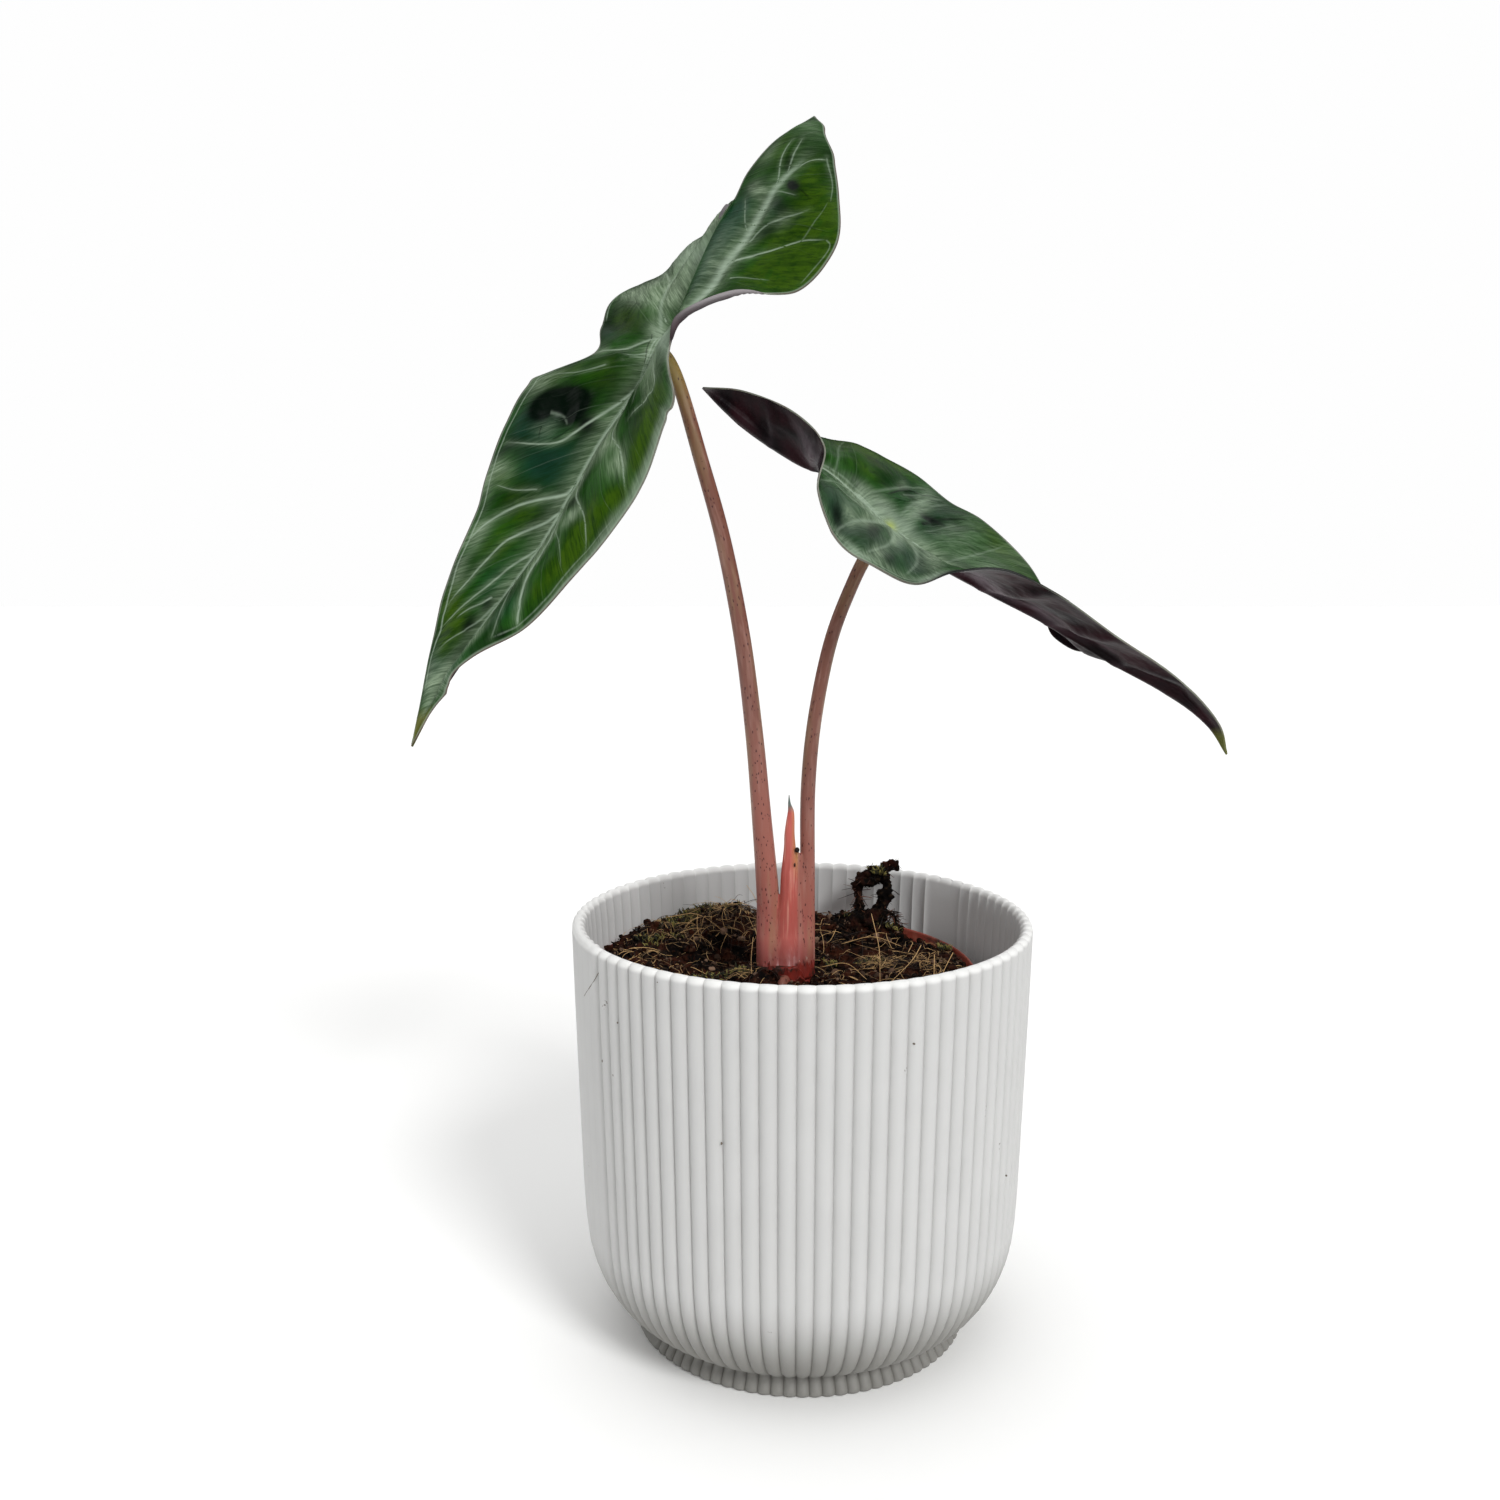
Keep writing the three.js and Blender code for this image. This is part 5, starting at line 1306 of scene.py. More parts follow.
rightLeaf = {
    "ribLine": [
        (124.5, -14, 182.5), (119, -13, 192), (108.5, -10, 201.5), (90.5, -7, 211.5), (73, -4, 222),
        (56.5, -2, 230.5), (41.5, 0, 238.5), (33, 2, 244.5), (25.5, 4, 250), (17, 5, 257.5),
        (7.5, 6, 265.5), (0, 7, 268.5), (-11.5, 8, 275.5), (-22.5, 9, 283.5), (-30, 10, 289.5),
    ],
    "ribWidth": [(0, 0.3), (4, 0.7), (6.5, 1.8), (8, 1.8), (8.6, 1.2), (14, 0.5)],
    "left": {
        "innerEdge": [],
        "margin": [
            (124.5, -14, 182.5), (120, -18, 193), (107, -21, 206), (88, -25, 218.5), (70.5, -27, 230.5),
            (55, -29, 237.5), (41, -30, 237), (30, -29, 233.5), (18.5, -27, 238.5), (9, -24, 245),
            (3.5, -20, 259), (5.5, -14, 271.5), (-3, -5, 281.5), (-17.5, 4, 288), (-30, 10, 289.5),
        ],
        "arch": [0, -0.5, -1, -1.5, -2, -2, 0, 1, 1, 1, 0, -1.2, -0.6, -0.2, 0],
        "waves": [],
        "hems": [],
        "veins": [
            (1.4, 0.38, [(7.9, 0.0), (8.66, 0.39), (9, 0.66), (9.2, 0.97)]),
            (1.4, 0.35, [(7.7, 0.0), (7.8, 0.48), (8.3, 0.89)]),
            (1.4, 0.32, [(7.2, 0.0), (6.95, 0.5), (7.25, 0.91)]),
            (1.05, 0.32, [(6.3, 0.0), (5.9, 0.4), (5.7, 0.9)]),
            (1.05, 0.32, [(5.2, 0.0), (4.6, 0.4), (4.2, 0.92)]),
            (0.868, 0.28, [(4, 0.0), (3.4, 0.44), (3, 0.9)]),
            (0.7, 0.28, [(2.9, 0.0), (2.4, 0.5), (2, 0.9)]),
            (0.7, 0.32, [(8.0, 0.02), (8.6, 0.09), (9.2, 0.12), (9.9, 0.1), (10.6, 0.08)]),
            (0.616, 0.28, [(8.2, 0.03), (8.9, 0.17), (9.6, 0.26), (10.2, 0.3)]),
            (0.7, 0.28, [(9.4, 0.03), (9.9, 0.4), (10.2, 0.9)]),
            (0.7, 0.28, [(10.6, 0.04), (11, 0.45), (11.3, 0.9)]),
            (0.7, 0.28, [(11.8, 0.04), (12.2, 0.5), (12.5, 0.9)]),
        ],
        "foldShades": [(0.9, 0.95, [(6.9, 0.97), (6.3, 0.99), (5.6, 1), (4.8, 1), (3.8, 1)])],
        "marginLines": [(6.8, 10.6, 1.5, 0.3, 0.4)],
        "dents": [(8.35, 0.45, 0.3, 0.2, 0.8), (9.2, 0.7, 0.3, 0.15, 0.8)],
        "sun": [],
        "haze": [(8.6, 0.3, 1.6, 0.6, 0.3), (7.6, 0.13, 1.6, 0.1, 0.45), (8.0, 0.94, 1.5, 0.07, 0.5),
                 (7.3, 0.2, 0.35, 0.14, 0.4), (8.55, 0.33, 0.18, 0.12, 0.8), (8.0, 0.78, 0.2, 0.13, 0.7),
                 (8.7, 0.12, 0.4, 0.12, 0.6), (9.1, 0.55, 0.25, 0.12, 0.5), (6.5, 0.4, 0.32, 0.5, 1),
                 (7.7, 0.3, 0.12, 0.2, 0.4)],
        "silver": [(7.9, 0.08, 1.2, 0.1, 0.45), (8.5, 0.96, 0.4, 0.06, 0.6), (6.6, 0.96, 0.4, 0.06, 0.6),
                   (7.55, 0.35, 0.15, 0.2, 0.25)],
        "blue": [(8, 0.4, 2, 0.8, 0.55), (6.9, 0.55, 0.5, 0.3, 0.4), (9.4, 0.7, 0.5, 0.3, 0.5)],
        "lilac": [(13.95, 0.5, 0.25, 0.8, 0.6)],
        "spot": [(7.88, 0, 0.17, 0.05, 0.9)],
        "shade": [(8.35, 0.45, 0.22, 0.2, 0.7), (9.32, 0.75, 0.22, 0.14, 0.9), (6.85, 0.55, 0.2, 0.2, 0.4),
                  (5.4, 1, 1.6, 0.05, 1.2), (7.7, 0.8, 0.12, 0.12, 0.4)],
        "bloom": [(5.6, 0.3, 0.5, 0.22, 0.95), (4.8, 0.22, 0.4, 0.16, 0.85), (4.0, 0.2, 0.45, 0.12, 0.7),
                  (3.2, 0.3, 0.4, 0.12, 0.5), (11.3, 0.6, 0.8, 0.2, 0.45), (10.8, 0.35, 0.3, 0.2, 0.5)],
    },
    "right": {
        "innerEdge": [],
        "margin": [
            (124.5, -14, 182.5), (121, -9, 191.5), (111.5, 1, 200.5), (93.5, 10, 210.5), (81, 18, 220),
            (71, 24, 236.5), (57.5, 27, 249.5), (47, 30, 255.5), (37, 32, 263.5), (27, 32, 269),
            (17, 30, 273.5), (7.5, 27, 275), (-5, 20, 279), (-19.5, 14, 285.5), (-30, 10, 289.5),
        ],
        "arch": [0, -0.5, -1.5, -3, -4, -3, -1, 1, 2, 2, 2, 1, 0, 0, 0],
        "waves": [],
        "hems": [(3.75, 0.6, -0.24)],
        "veins": [
            (1.23, 0.46, [(8, 0.01), (8.5, 0.05), (9, 0.07), (9.8, 0.07), (10.6, 0.05)]),
            (1.54, 0.32, [(7.95, 0.0), (7.8, 0.06), (7.6, 0.3), (7.3, 0.6), (7, 0.92)]),
            (1.23, 0.26, [(8.8, 0.06), (8.76, 0.19), (8.1, 0.59), (7.6, 0.88)]),
            (0.532, 0.26, [(8.1, 0.42), (7.75, 0.6), (7.45, 0.85)]),
            (0.7, 0.19, [(7.3, 0.0), (7, 0.16), (6.4, 0.66)]),
            (0.868, 0.28, [(6.1, 0.0), (5.9, 0.11), (5.6, 0.65), (5.46, 0.93)]),
            (0.7, 0.23, [(4.9, 0.0), (4.4, 0.5), (4.1, 0.92)]),
            (0.7, 0.23, [(3.7, 0.0), (3.2, 0.5), (2.9, 0.92)]),
            (0.7, 0.23, [(9.8, 0.05), (10.2, 0.5), (10.3, 0.9)]),
            (1.4, 0.3, [(7.83, 0.1), (7.7, 0.4), (7.45, 0.7), (7.15, 0.94)]),
            (0.7, 0.23, [(11.2, 0.04), (11.7, 0.5), (12, 0.9)]),
        ],
        "foldShades": [
            (1.3, 0.85, [(7.15, 0.23), (7.03, 0.38), (6.9, 0.5), (6.72, 0.62), (6.5, 0.74), (6.2, 0.84)]),
            (0.8, 0.8, [(8.46, 0.27), (8.12, 0.5), (7.85, 0.6), (7.55, 0.72), (7.2, 0.95)]),
            (0.7, 0.5, [(8.26, 0.26), (7.92, 0.36), (7.63, 0.57)]),
        ],
        "marginLines": [(7.2, 10.5, 1.4, 0.3, 0.4)],
        "dents": [(7.1, 0.45, 0.3, 0.12, 1.6)],
        "sun": [(9.8, 0.75, 0.9, 0.25, 0.8), (8.6, 0.86, 0.5, 0.1, 0.9), (5.24, 0.83, 0.6, 0.16, 0.5),
                (5.7, 0.9, 0.4, 0.1, 0.4), (9.3, 0.4, 0.5, 0.2, 0.5)],
        "haze": [(7.5, 0.45, 0.26, 0.5, 0.6), (6.1, 0.45, 0.7, 0.55, 0.42), (8.25, 0.13, 0.4, 0.1, 0.5),
                 (5.2, 0.85, 0.4, 0.2, 0.6), (8.25, 0.55, 0.18, 0.1, 0.5), (8.9, 0.12, 0.4, 0.08, 0.6),
                 (5.25, 0.35, 0.25, 0.2, 0.6)],
        "silver": [(7.9, 0.08, 1.2, 0.09, 0.45), (7.5, 0.4, 0.18, 0.4, 0.25)],
        "blue": [(7.2, 0.4, 1.6, 0.6, 0.5)],
        "lilac": [(13.95, 0.5, 0.25, 0.8, 0.6)],
        "spot": [(7.88, 0, 0.17, 0.05, 0.9)],
        "shade": [(7.1, 0.44, 0.3, 0.07, 1), (6.8, 0.5, 0.2, 0.05, 0.6), (8.75, 0.42, 0.3, 0.1, 0.5),
                  (8.05, 0.5, 0.3, 0.06, 0.6), (9.2, 0.55, 0.3, 0.12, 0.4)],
    },
}
blade = {
    "rowsPerStation": 20,
    "columns": 52,
    "tipCut": 0.03,  # stations left off each pointed end
    "thickness": 0.5,
    "quilting": 1.1,  # how far the blade swells between its veins
    "quiltedFrom": 12,  # halves narrower than this swell less
    "swellWidth": 3.6,
    "ribDepth": 0.9,
    "underRib": 1.2,
    "stripLift": 0.07,  # how far the finely drawn veins lie above the blade
    "fineVeins": 24,  # faint ones on each half
    # strands of the midrib's bundle: [mm beside the rib, first station, last station]
    "strands": [(-2.2, 7.6, 9.1), (-1.2, 7.2, 9.2), (1.2, 7.2, 9.2), (2.2, 7.7, 9.1)],
    "deep": "#0a2805",
    "green": "#1c4a0c",
    # painted sunlight
    "sunny": "#324f07",
    "blueGreen": "#133a2b",
    # painted sheen, also the colour of the pale bloom beside the veins
    "haze": "#87997f",
    # silver of the veins, also painted highlights in patches
    "silver": "#9bad99",
    "shade": "#020a05",
    "spot": "#9fae62",
    "tipOlive": "#5c5f2c",
    "margin": "#8f9c8b",
    "marginLine": "#59403f",
    "underside": "#0c0507",
    "undersideRed": "#260a11",
    # painted sheen on the underside
    "undersideSheen": "#6f626a",
    "undersideVein": "#80707a",
    # painted lilac-grey sheen
    "undersideLilacSheen": "#8f8a8c",
}


def sheetPoints(leaf, side, station, across, lift=0):
    half = leaf[side]
    inner, along = smoothLine(leaf["ribLine"] + half["innerEdge"], station)
    margin = smoothLine(half["margin"], station)[0]
    chord = margin - inner
    width = np.maximum(np.linalg.norm(chord, axis=1), 1e-6)
    out = sum((mmOut * np.exp(-(((station - middle) / length) ** 2)) for middle, length, mmOut in half["waves"]),
              np.zeros(len(station)))
    chord = chord * (1 + out / np.maximum(width, 4))[:, None]
    up = np.cross(along, chord) if side == "left" else np.cross(chord, along)
    up /= np.maximum(np.linalg.norm(up, axis=1), 1e-9)[:, None]
    arch = np.interp(station, range(len(half["arch"])), half["arch"])
    reach, rise = across, 0
    for middle, length, share in half["hems"]:
        # The last share of the width turns up or down like a lip
        turned = abs(share) * np.exp(-(((station - middle) / length) ** 4))
        beyond = np.maximum(across - (1 - turned), 0)
        reach = np.minimum(across / (1 - turned), 1) - 0.35 * beyond
        rise = math.copysign(0.9, share) * width * beyond
    height = arch * np.sin(np.pi * reach) + lift + rise
    return inner + chord * reach[:, None] + up * height[:, None], width


def distanceTo(points, line):
    # Each point's least distance to a line, and where along the line that is, from 0 to 1
    best = np.full(len(points), 1e9)
    where = np.zeros(len(points))
    pieces = len(line) - 1
    for number in range(pieces):
        start, run = line[number], line[number + 1] - line[number]
        share = np.clip(((points - start) @ run) / max(run @ run, 1e-9), 0, 1)
        apart = np.linalg.norm(points - start - share[:, None] * run, axis=1)
        nearer = apart < best
        best = np.where(nearer, apart, best)
        where = np.where(nearer, (number + share) / pieces, where)
    return best, where


def patchSum(patches, station, across, sharpness=1.0):
    total = np.zeros(len(station))
    for middle, middleAcross, length, width, amount in patches:
        away = ((station - middle) / length) ** 2 + ((across - middleAcross) / width) ** 2
        total += amount * np.exp(-away ** sharpness)
    return total


def veinTrack(route, count):
    places = np.linspace(0, len(route) - 1, count)
    track = smoothLine([(s, a, 0) for s, a in route], places)[0]
    return track[:, 0], np.clip(track[:, 1], 0, 1)


def leafSurface(leaf, side, station, across):
    # Points of the upper side, and what its skin needs to know there
    half = leaf[side]
    plain, width = sheetPoints(leaf, side, station, across)
    raised, glow, nearest = np.zeros(len(plain)), np.zeros(len(plain)), np.full(len(plain), 1e9)
    for veinWidth, strength, route in half["veins"]:
        line = sheetPoints(leaf, side, *veinTrack(route, 5 * len(route)))[0]
        apart, where = distanceTo(plain, line)
        wide = veinWidth * (1 - 0.5 * where)
        raised = np.maximum(raised, strength * (1 - 0.35 * where) * np.exp(-((apart / (0.5 + 0.6 * wide)) ** 2)))
        glow = np.maximum(glow, strength * (1 - 0.4 * where) * np.exp(-((apart / (0.6 + 1.5 * wide)) ** 2)))
        if veinWidth > 0.42:
            nearest = np.minimum(nearest, apart)
    ribApart = across * width
    edgeApart = (1 - across) * width
    beyondSeam = station > len(leaf["ribLine"]) - 1
    edgeApart = np.where(beyondSeam, np.minimum(edgeApart, ribApart), edgeApart)
    ribWide = np.interp(station, *zip(*leaf["ribWidth"]))
    onSeam = np.clip(9.8 - station, 0, 1) if leaf is leftLeaf else np.ones(len(station))
    ribGlow = np.where(beyondSeam, 0, onSeam * np.exp(-((ribApart / (1.5 * ribWide + 0.9)) ** 2)))
    # Sunken veins, the blade swelling between them, and the midrib in its valley
    reach = np.clip(width / blade["quiltedFrom"], 0, 1)
    belly = np.maximum(0, np.sin(np.pi * across))
    swell = (1 - np.exp(-((nearest / blade["swellWidth"]) ** 2))) * belly ** 0.7
    lift = blade["quilting"] * 1.3 * swell - blade["ribDepth"] * np.exp(-((across / 0.12) ** 2))
    lift -= 0.3 * raised + patchSum(half["dents"], station, across)
    lift += 0.4 * roughness3d(plain, 7, 3, 4.4) * belly ** 0.5
    points, _ = sheetPoints(leaf, side, station, across, reach * lift)
    way = -1 if side == "left" else 1
    # Places along the side veins, which sweep forward on the blade and backward on the lobes
    sweep = np.interp(station, [8.4, 9.8], [0.8, -0.6])
    place = np.stack([14.0 * station + sweep * ribApart, ribApart, np.full(len(plain), 40.0 * way)], 1)
    bulge = blade["underRib"] * np.where(beyondSeam, 0, np.exp(-((ribApart / 1.4) ** 2))) + 0.5 * raised
    fields = {
        "raised": raised, "glow": np.maximum(glow, ribGlow), "edge": edgeApart, "leafPlace": place,
        "tip": np.exp(-station / 0.75), "under": blade["thickness"] + reach * bulge,
    }
    for kind in ("silver", "sun", "haze", "blue", "shade", "spot", "bloom", "lilac"):
        sharpness = 1.3 if kind == "shade" else 1.0
        fields[kind] = np.clip(patchSum(half.get(kind, []), station, across, sharpness), 0, 1)
    return points, fields, width


def leafHalf(leaf, side):
    stations = len(leaf[side]["margin"]) - 1
    rows = np.linspace(blade["tipCut"], stations - blade["tipCut"], stations * blade["rowsPerStation"] + 1)
    columns = np.linspace(0, 1, blade["columns"] + 1)
    station, across = (grid.ravel() for grid in np.meshgrid(rows, columns, indexing="ij"))
    points, fields, _ = leafSurface(leaf, side, station, across)
    return points, fields, len(rows), len(columns)


def makeLeaf(leaf):
    # Both halves are welded along the rib line up to where the rear lobes part
    seamRows = (len(leaf["ribLine"]) - 1) * blade["rowsPerStation"]
    leftPoints, leftFields, rows, columns = leafHalf(leaf, "left")
    rightPoints, rightFields, _, _ = leafHalf(leaf, "right")
    count = len(leftPoints)
    numbers = np.arange(count).reshape(rows, columns)
    rightNumbers = numbers + count
    rightNumbers[:seamRows + 1, 0] = numbers[:seamRows + 1, 0]
    onRib = numbers[:seamRows + 1, 0]
    leftPoints[onRib] = (leftPoints[onRib] + rightPoints[onRib]) / 2
    quads = []
    for grid, flip in ((numbers, True), (rightNumbers, False)):
        corners = np.stack([grid[:-1, :-1], grid[:-1, 1:], grid[1:, 1:], grid[1:, :-1]], -1).reshape(-1, 4)
        quads.append(corners[:, ::-1] if flip else corners)
    quads = np.vstack(quads)
    points = np.vstack([leftPoints, rightPoints])
    fields = {label: np.concatenate([leftFields[label], rightFields[label]]) for label in leftFields}
    used, quads = np.unique(quads, return_inverse=True)
    quads = quads.reshape(-1, 4)
    points = points[used]
    fields = {label: values[used] for label, values in fields.items()}
    points, faces, counts = thickened(points, quads, fields.pop("under"))
    fields = {label: np.concatenate([values, values]) for label, values in fields.items()}
    return points, faces, fields, np.repeat([0, 1, 2], counts)


def veinStrip(leaf, side, station, across, width, strength, kind="silver"):
    # A finely meshed strip of the upper side along one vein or one line of painted fold shade, so that its line
    # stays sharp
    step = 0.02
    here = sheetPoints(leaf, side, station, across)[0]
    alongStation = (sheetPoints(leaf, side, station + step, across)[0]
                    - sheetPoints(leaf, side, station - step, across)[0]) / (2 * step)
    alongAcross = (sheetPoints(leaf, side, station, across + step)[0]
                   - sheetPoints(leaf, side, station, across - step)[0]) / (2 * step)
    run = np.gradient(here, axis=0)
    face = np.cross(alongStation, alongAcross)
    aside = np.cross(face, run)
    aside /= np.maximum(np.linalg.norm(aside, axis=1), 1e-9)[:, None]
    ss, sa, aa = ((a * b).sum(1) for a, b in ((alongStation, alongStation), (alongStation, alongAcross),
                                              (alongAcross, alongAcross)))
    towardStation, towardAcross = (alongStation * aside).sum(1), (alongAcross * aside).sum(1)
    area = np.maximum(ss * aa - sa * sa, 1e-6)
    perStation = (aa * towardStation - sa * towardAcross) / area
    perAcross = (ss * towardAcross - sa * towardStation) / area
    share = np.linspace(0, 1, len(station))
    halfWidth = 0.5 * width * (1 - 0.55 * share) + 0.08
    columns = np.linspace(-1.9, 1.9, 9)
    offset = halfWidth[:, None] * columns
    stations = (station[:, None] + perStation[:, None] * offset).ravel()
    acrosses = (across[:, None] + perAcross[:, None] * offset).ravel()
    stations = np.clip(stations, blade["tipCut"], len(leaf[side]["margin"]) - 1 - blade["tipCut"])
    other = "right" if side == "left" else "left"
    points, fields, widths = leafSurface(leaf, side, stations, np.clip(acrosses, 0, 1))
    # Beyond the seam the two lobes are apart, and a strip stays on its own
    crossed = (acrosses < 0) & (stations < len(leaf["ribLine"]) - 1.05)
    if crossed.any():
        otherWidth = sheetPoints(leaf, other, stations[crossed], np.zeros(crossed.sum()))[1]
        beyond = np.clip(-acrosses[crossed] * widths[crossed] / otherWidth, 0, 1)
        otherPoints, otherFields, _ = leafSurface(leaf, other, stations[crossed], beyond)
        points[crossed] = otherPoints
        for label in fields:
            fields[label][crossed] = otherFields[label]
    fade = np.clip(np.minimum(share / 0.04, (1 - share) / 0.12), 0, 1) * (1 - 0.35 * share)
    profile = np.exp(-np.abs(columns) ** 2.4)
    fields[kind] = np.maximum(fields[kind], (strength * fade[:, None] * profile).ravel())
    quads = gridFaces(len(station), len(columns))
    normals = pointNormals(points, quads)
    # The blade's upper side faces the same way on both halves
    upward = np.cross(alongStation, alongAcross) * (1 if side == "left" else -1)
    facing = np.repeat(upward, len(columns), axis=0)
    if (normals * facing).sum() < 0:
        quads, normals = quads[:, ::-1], -normals
    points = points + normals * blade["stripLift"] * np.tile(1 - 0.45 * np.abs(columns) / 1.9, len(station))[:, None]
    fields.pop("under")
    return points, quads, fields


def makeVeins(leaf, draw):
    strips = []
    for side in ("left", "right"):
        half = leaf[side]
        last = len(half["margin"]) - 1
        for lines, kind in (("veins", "silver"), ("foldShades", "shade")):
            for width, strength, route in half[lines]:
                strips.append(veinStrip(leaf, side, *veinTrack(route, 14 * len(route)), width, strength, kind))
        for first, end, inside, width, strength in half["marginLines"]:
            station = np.linspace(first, end, int(16 * (end - first)))
            halfWidth = sheetPoints(leaf, side, station, np.ones(len(station)))[1]
            across = 1 - (inside + 0.3 * np.sin(3.1 * station)) / np.maximum(halfWidth, inside + 1)
            strips.append(veinStrip(leaf, side, station, across, width, strength))
        for number in range(blade["fineVeins"]):
            start = 1.2 + (last - 2.2) * (number + draw.uniform(-0.3, 0.3)) / blade["fineVeins"]
            way = -1 if start < 9 else 0.8
            route = [(start, 0.03), (start + 0.5 * way, 0.34), (start + 0.95 * way, 0.64),
                     (start + 1.2 * way + draw.uniform(-0.1, 0.1), 0.93)]
            route = [(min(max(s, 0.1), last - 0.1), a) for s, a in route]
            strips.append(veinStrip(leaf, side, *veinTrack(route, 40), 0.14, draw.uniform(0.02, 0.13)))
    seam = len(leaf["ribLine"]) - 1
    station = np.linspace(0.5, 9.5 if leaf is leftLeaf else seam - 0.5, 190)
    strips.append(veinStrip(leaf, "right", station[::-1], np.zeros(len(station)), 1.0, 1))
    for offset, first, end in blade["strands"]:
        station = np.linspace(end, first, 60)
        side = "right" if offset > 0 else "left"
        width = sheetPoints(leaf, side, station, np.ones(len(station)))[1]
        spread = np.interp(station, [first, end], [0.25, 1]) if leaf is leftLeaf else 0.5
        strips.append(veinStrip(leaf, side, station, abs(offset) * spread / width, 0.5, 0.9))
    points, faces, _ = joined([strip[:2] for strip in strips])
    return points, faces, {label: np.concatenate([fields[label] for *_, fields in strips]) for label in strips[0][2]}


def makeUpperSkin():
    # Living alocasia leaf, upper side: thick waxy green, cloudy with pale bloom beside the silvery veins, with
    # painted sheen and painted highlights in patches, yellow-green in painted sunlit patches and painted shade in
    # folds and dents, glossy where it swells
    material, add = newMaterial("leafUpperWaxyGreen")
    label = {name: add("Attribute", attribute_name=name).outputs["Fac"]
             for name in ("silver", "glow", "edge", "sun", "haze", "blue", "shade", "tip", "spot")}
    place = add("Attribute", attribute_name="leafPlace").outputs["Vector"]
    # Cloudy greens 14 mm wide, broken by blotches of 4 mm
    clouds = add("TexNoise", {"Vector": place, "Scale": 1 / 14, "Detail": 3.0})
    cloudy = add("MapRange", (clouds, 0.38, 0.62))
    colour = add("MixRGB", (cloudy, blade["deep"], blade["green"]))
    blotches = add("TexNoise", {"Vector": place, "Scale": 1 / 4, "Detail": 4.0, "Roughness": 0.6})
    broken = add("MapRange", (blotches, 0.36, 0.62))
    # Streaks along the side veins, about 1 mm wide and 7 mm long
    fan = add("Mapping", {"Vector": place, "Scale": (1, 0.15, 1)})
    streaks = add("TexNoise", {"Vector": fan, "Scale": 1 / 1.1, "Detail": 3.0, "Roughness": 0.6})
    streaky = add("MapRange", (streaks, 0.38, 0.62))
    # and fine ones, drawn 0.4 mm wide because the real 0.2 mm ones would not show
    fine = add("TexNoise", {"Vector": fan, "Scale": 1 / 0.45, "Detail": 2.0})
    crisp = add("MapRange", (fine, 0.42, 0.58, 0.7, 1.1))
    blue = add("Math", (label["blue"], 0.85), operation="MULTIPLY")
    colour = add("MixRGB", (blue, colour, blade["blueGreen"]))
    # Painted sunlit yellow-green in patches, broken by blotches
    sunny = add("Math", (label["sun"], broken), operation="MULTIPLY")
    sunny = add("Math", (label["sun"], 0.5, sunny), operation="MULTIPLY_ADD", use_clamp=True)
    colour = add("MixRGB", (sunny, colour, blade["sunny"]))
    darker = add("MapRange", (streaks, 0.52, 0.36, 0, 0.45))
    colour = add("MixRGB", (darker, colour, blade["deep"]))
    lined = add("MapRange", (fine, 0.45, 0.34, 0, 0.5))
    colour = add("MixRGB", (lined, colour, blade["deep"]))
    # Pale bloom beside the veins, and painted sheen in patches, brushed along the streaks
    bloom = add("Math", (label["glow"], 0.72, label["haze"]), operation="MULTIPLY_ADD", use_clamp=True)
    brushed = add("MapRange", (streaky, 0, 1, 0.5, 0.95))
    bloom = add("Math", (bloom, brushed), operation="MULTIPLY")
    bloom = add("Math", (bloom, crisp), operation="MULTIPLY", use_clamp=True)
    bloom = add("Math", (bloom, 1.15), operation="POWER")
    clear = add("MapRange", (label["sun"], 0, 1, 1.0, 0.15))
    bloom = add("Math", (bloom, clear), operation="MULTIPLY")
    colour = add("MixRGB", (bloom, colour, blade["haze"]))
    # The olive tip, a pale line inside the margin and a brown one on it
    tipped = add("ValToRGB", {"Fac": label["tip"]}, stops=[(0.3, 0.0), (0.45, 1.0)])
    colour = add("MixRGB", (tipped, colour, blade["tipOlive"]))
    border = add("MapRange", (label["edge"], 0.85, 0.4, 0, 0.6))
    colour = add("MixRGB", (border, colour, blade["margin"]))
    rim = add("MapRange", (label["edge"], 0.4, 0.15, 0, 0.85))
    colour = add("MixRGB", (rim, colour, blade["marginLine"]))
    # Painted shade in deep folds and dents, and over it the silver of the veins and the painted highlights
    dark = add("Math", (label["shade"], 0.97), operation="MULTIPLY")
    colour = add("MixRGB", (dark, colour, blade["shade"]))
    # The silver veins, and painted highlights where silver patches are listed
    worn = add("MapRange", (streaky, 0, 1, 0.7, 1.0))
    silver = add("Math", (label["silver"], worn), operation="MULTIPLY")
    colour = add("MixRGB", (silver, colour, blade["silver"]))
    colour = add("MixRGB", (label["spot"], colour, blade["spot"]))
    bump = add("Bump", {"Height": streaks, "Strength": 0.3, "Distance": 0.0005})
    gloss = add("MapRange", (blotches, 0, 1, 0.24, 0.42))
    skin = add("BsdfPrincipled",
               {"Base Color": colour, "Roughness": gloss, "IOR": 1.45, "Specular IOR Level": 0.09, "Normal": bump})
    add("OutputMaterial", {"Surface": skin})
    return material


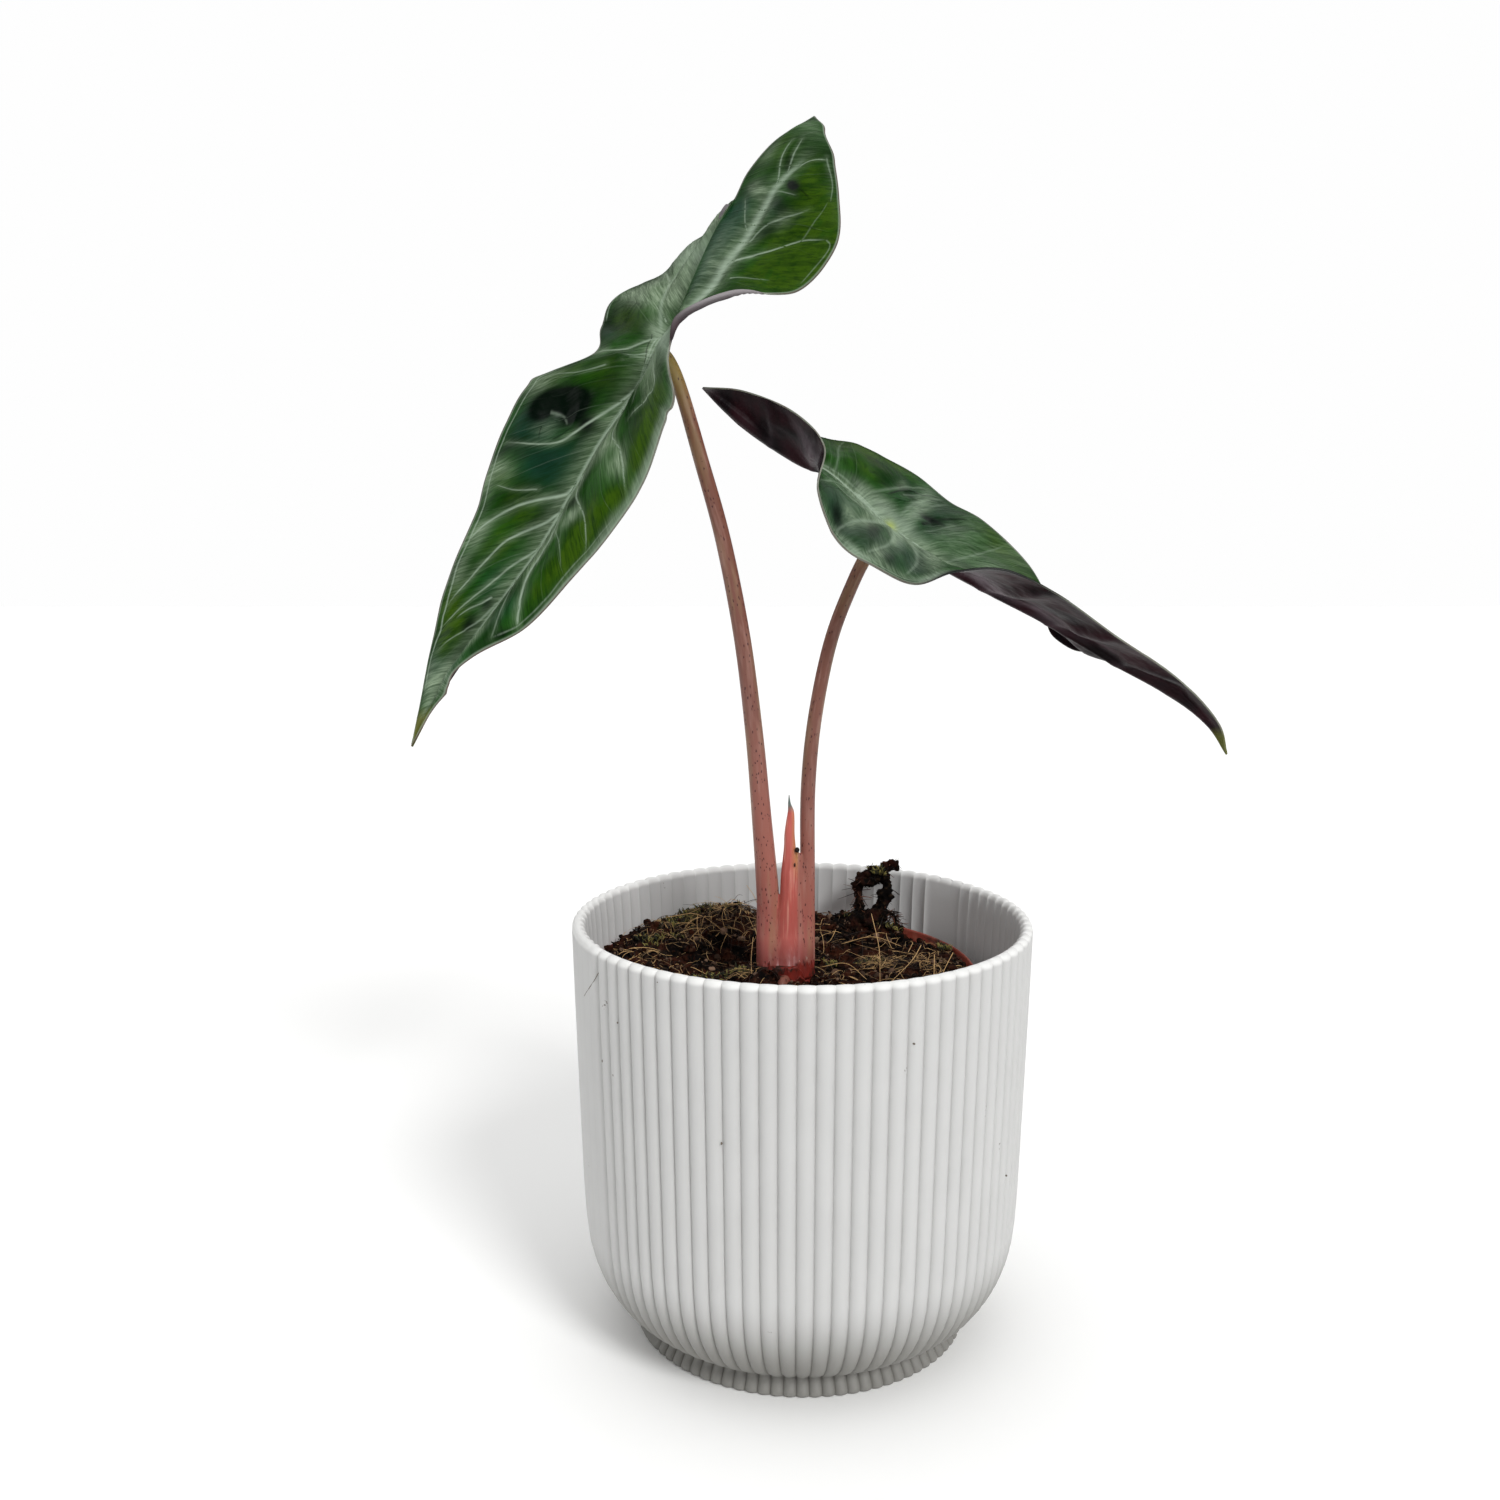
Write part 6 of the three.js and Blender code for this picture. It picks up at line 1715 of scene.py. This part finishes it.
def makeUnderSkin():
    # Living alocasia leaf, underside: a dark red-purple that is nearly black, with a painted grey sheen in broad
    # strokes along the veins, painted lilac sheen in patches, and raised paler veins
    material, add = newMaterial("leafUnderPurple")
    label = {name: add("Attribute", attribute_name=name).outputs["Fac"]
             for name in ("raised", "tip", "bloom", "lilac")}
    place = add("Attribute", attribute_name="leafPlace").outputs["Vector"]
    clouds = add("TexNoise", {"Vector": place, "Scale": 1 / 10, "Detail": 3.0})
    cloudy = add("MapRange", (clouds, 0.4, 0.62))
    colour = add("MixRGB", (cloudy, blade["underside"], blade["undersideRed"]))
    strokes = add("Mapping", {"Vector": place, "Scale": (0.35, 0.8, 1), "Rotation": (0, 0, 0.5)})
    brushed = add("TexNoise", {"Vector": strokes, "Scale": 1 / 4, "Detail": 4.0, "Roughness": 0.55})
    strong = add("MapRange", (brushed, 0.38, 0.62))
    # Painted grey sheen, faint everywhere and strong in the listed patches
    bloom = add("Math", (label["bloom"], 0.9, 0.05), operation="MULTIPLY_ADD")
    bloom = add("Math", (bloom, strong), operation="MULTIPLY")
    colour = add("MixRGB", (bloom, colour, blade["undersideSheen"]))
    # Painted lilac-grey sheen in patches
    colour = add("MixRGB", (label["lilac"], colour, blade["undersideLilacSheen"]))
    veins = add("Math", (label["raised"], 0.22), operation="MULTIPLY")
    colour = add("MixRGB", (veins, colour, blade["undersideVein"]))
    tipped = add("ValToRGB", {"Fac": label["tip"]}, stops=[(0.3, 0.0), (0.45, 1.0)])
    colour = add("MixRGB", (tipped, colour, blade["tipOlive"]))
    fine = add("TexNoise", {"Vector": place, "Scale": 1 / 1.5, "Detail": 3.0})
    bump = add("Bump", {"Height": fine, "Strength": 0.3, "Distance": 0.0004})
    gloss = add("MapRange", (clouds, 0, 1, 0.34, 0.5))
    skin = add("BsdfPrincipled",
               {"Base Color": colour, "Roughness": gloss, "IOR": 1.45, "Normal": bump, "Specular IOR Level": 0.1})
    add("OutputMaterial", {"Surface": skin})
    return material


def makeMarginSkin():
    # Leaf margin: a thin dry line, brown-purple on the blade and olive at the tip, with painted shade where the
    # blade's painted shade reaches it
    material, add = newMaterial("leafMarginDry")
    tip = add("Attribute", attribute_name="tip").outputs["Fac"]
    place = add("Attribute", attribute_name="leafPlace").outputs["Vector"]
    fine = add("TexNoise", {"Vector": place, "Scale": 1 / 5, "Detail": 3.0})
    colour = add("MixRGB", (fine, blade["marginLine"], blade["margin"]))
    tipped = add("ValToRGB", {"Fac": tip}, stops=[(0.3, 0.0), (0.45, 1.0)])
    colour = add("MixRGB", (tipped, colour, blade["tipOlive"]))
    # Painted shade, from the blade's shade patches
    dark = add("Attribute", attribute_name="shade")
    colour = add("MixRGB", (dark.outputs["Fac"], colour, blade["shade"]))
    skin = add("BsdfPrincipled", {"Base Color": colour, "Roughness": 0.4, "IOR": 1.45})
    add("OutputMaterial", {"Surface": skin})
    return material


leafSkins = [makeUpperSkin(), makeUnderSkin(), makeMarginSkin()]
for name, leaf in (("Left", leftLeaf), ("Right", rightLeaf)):
    points, faces, fields, slots = makeLeaf(leaf)
    makePiece("leaf" + name, points, faces, leafSkins, "leaf_" + name.lower(), fields, slots)
    points, faces, fields = makeVeins(leaf, draw)
    makePiece(f"leaf{name}Veins", points, faces, leafSkins[:1], attributes=fields)
print("leaves made")
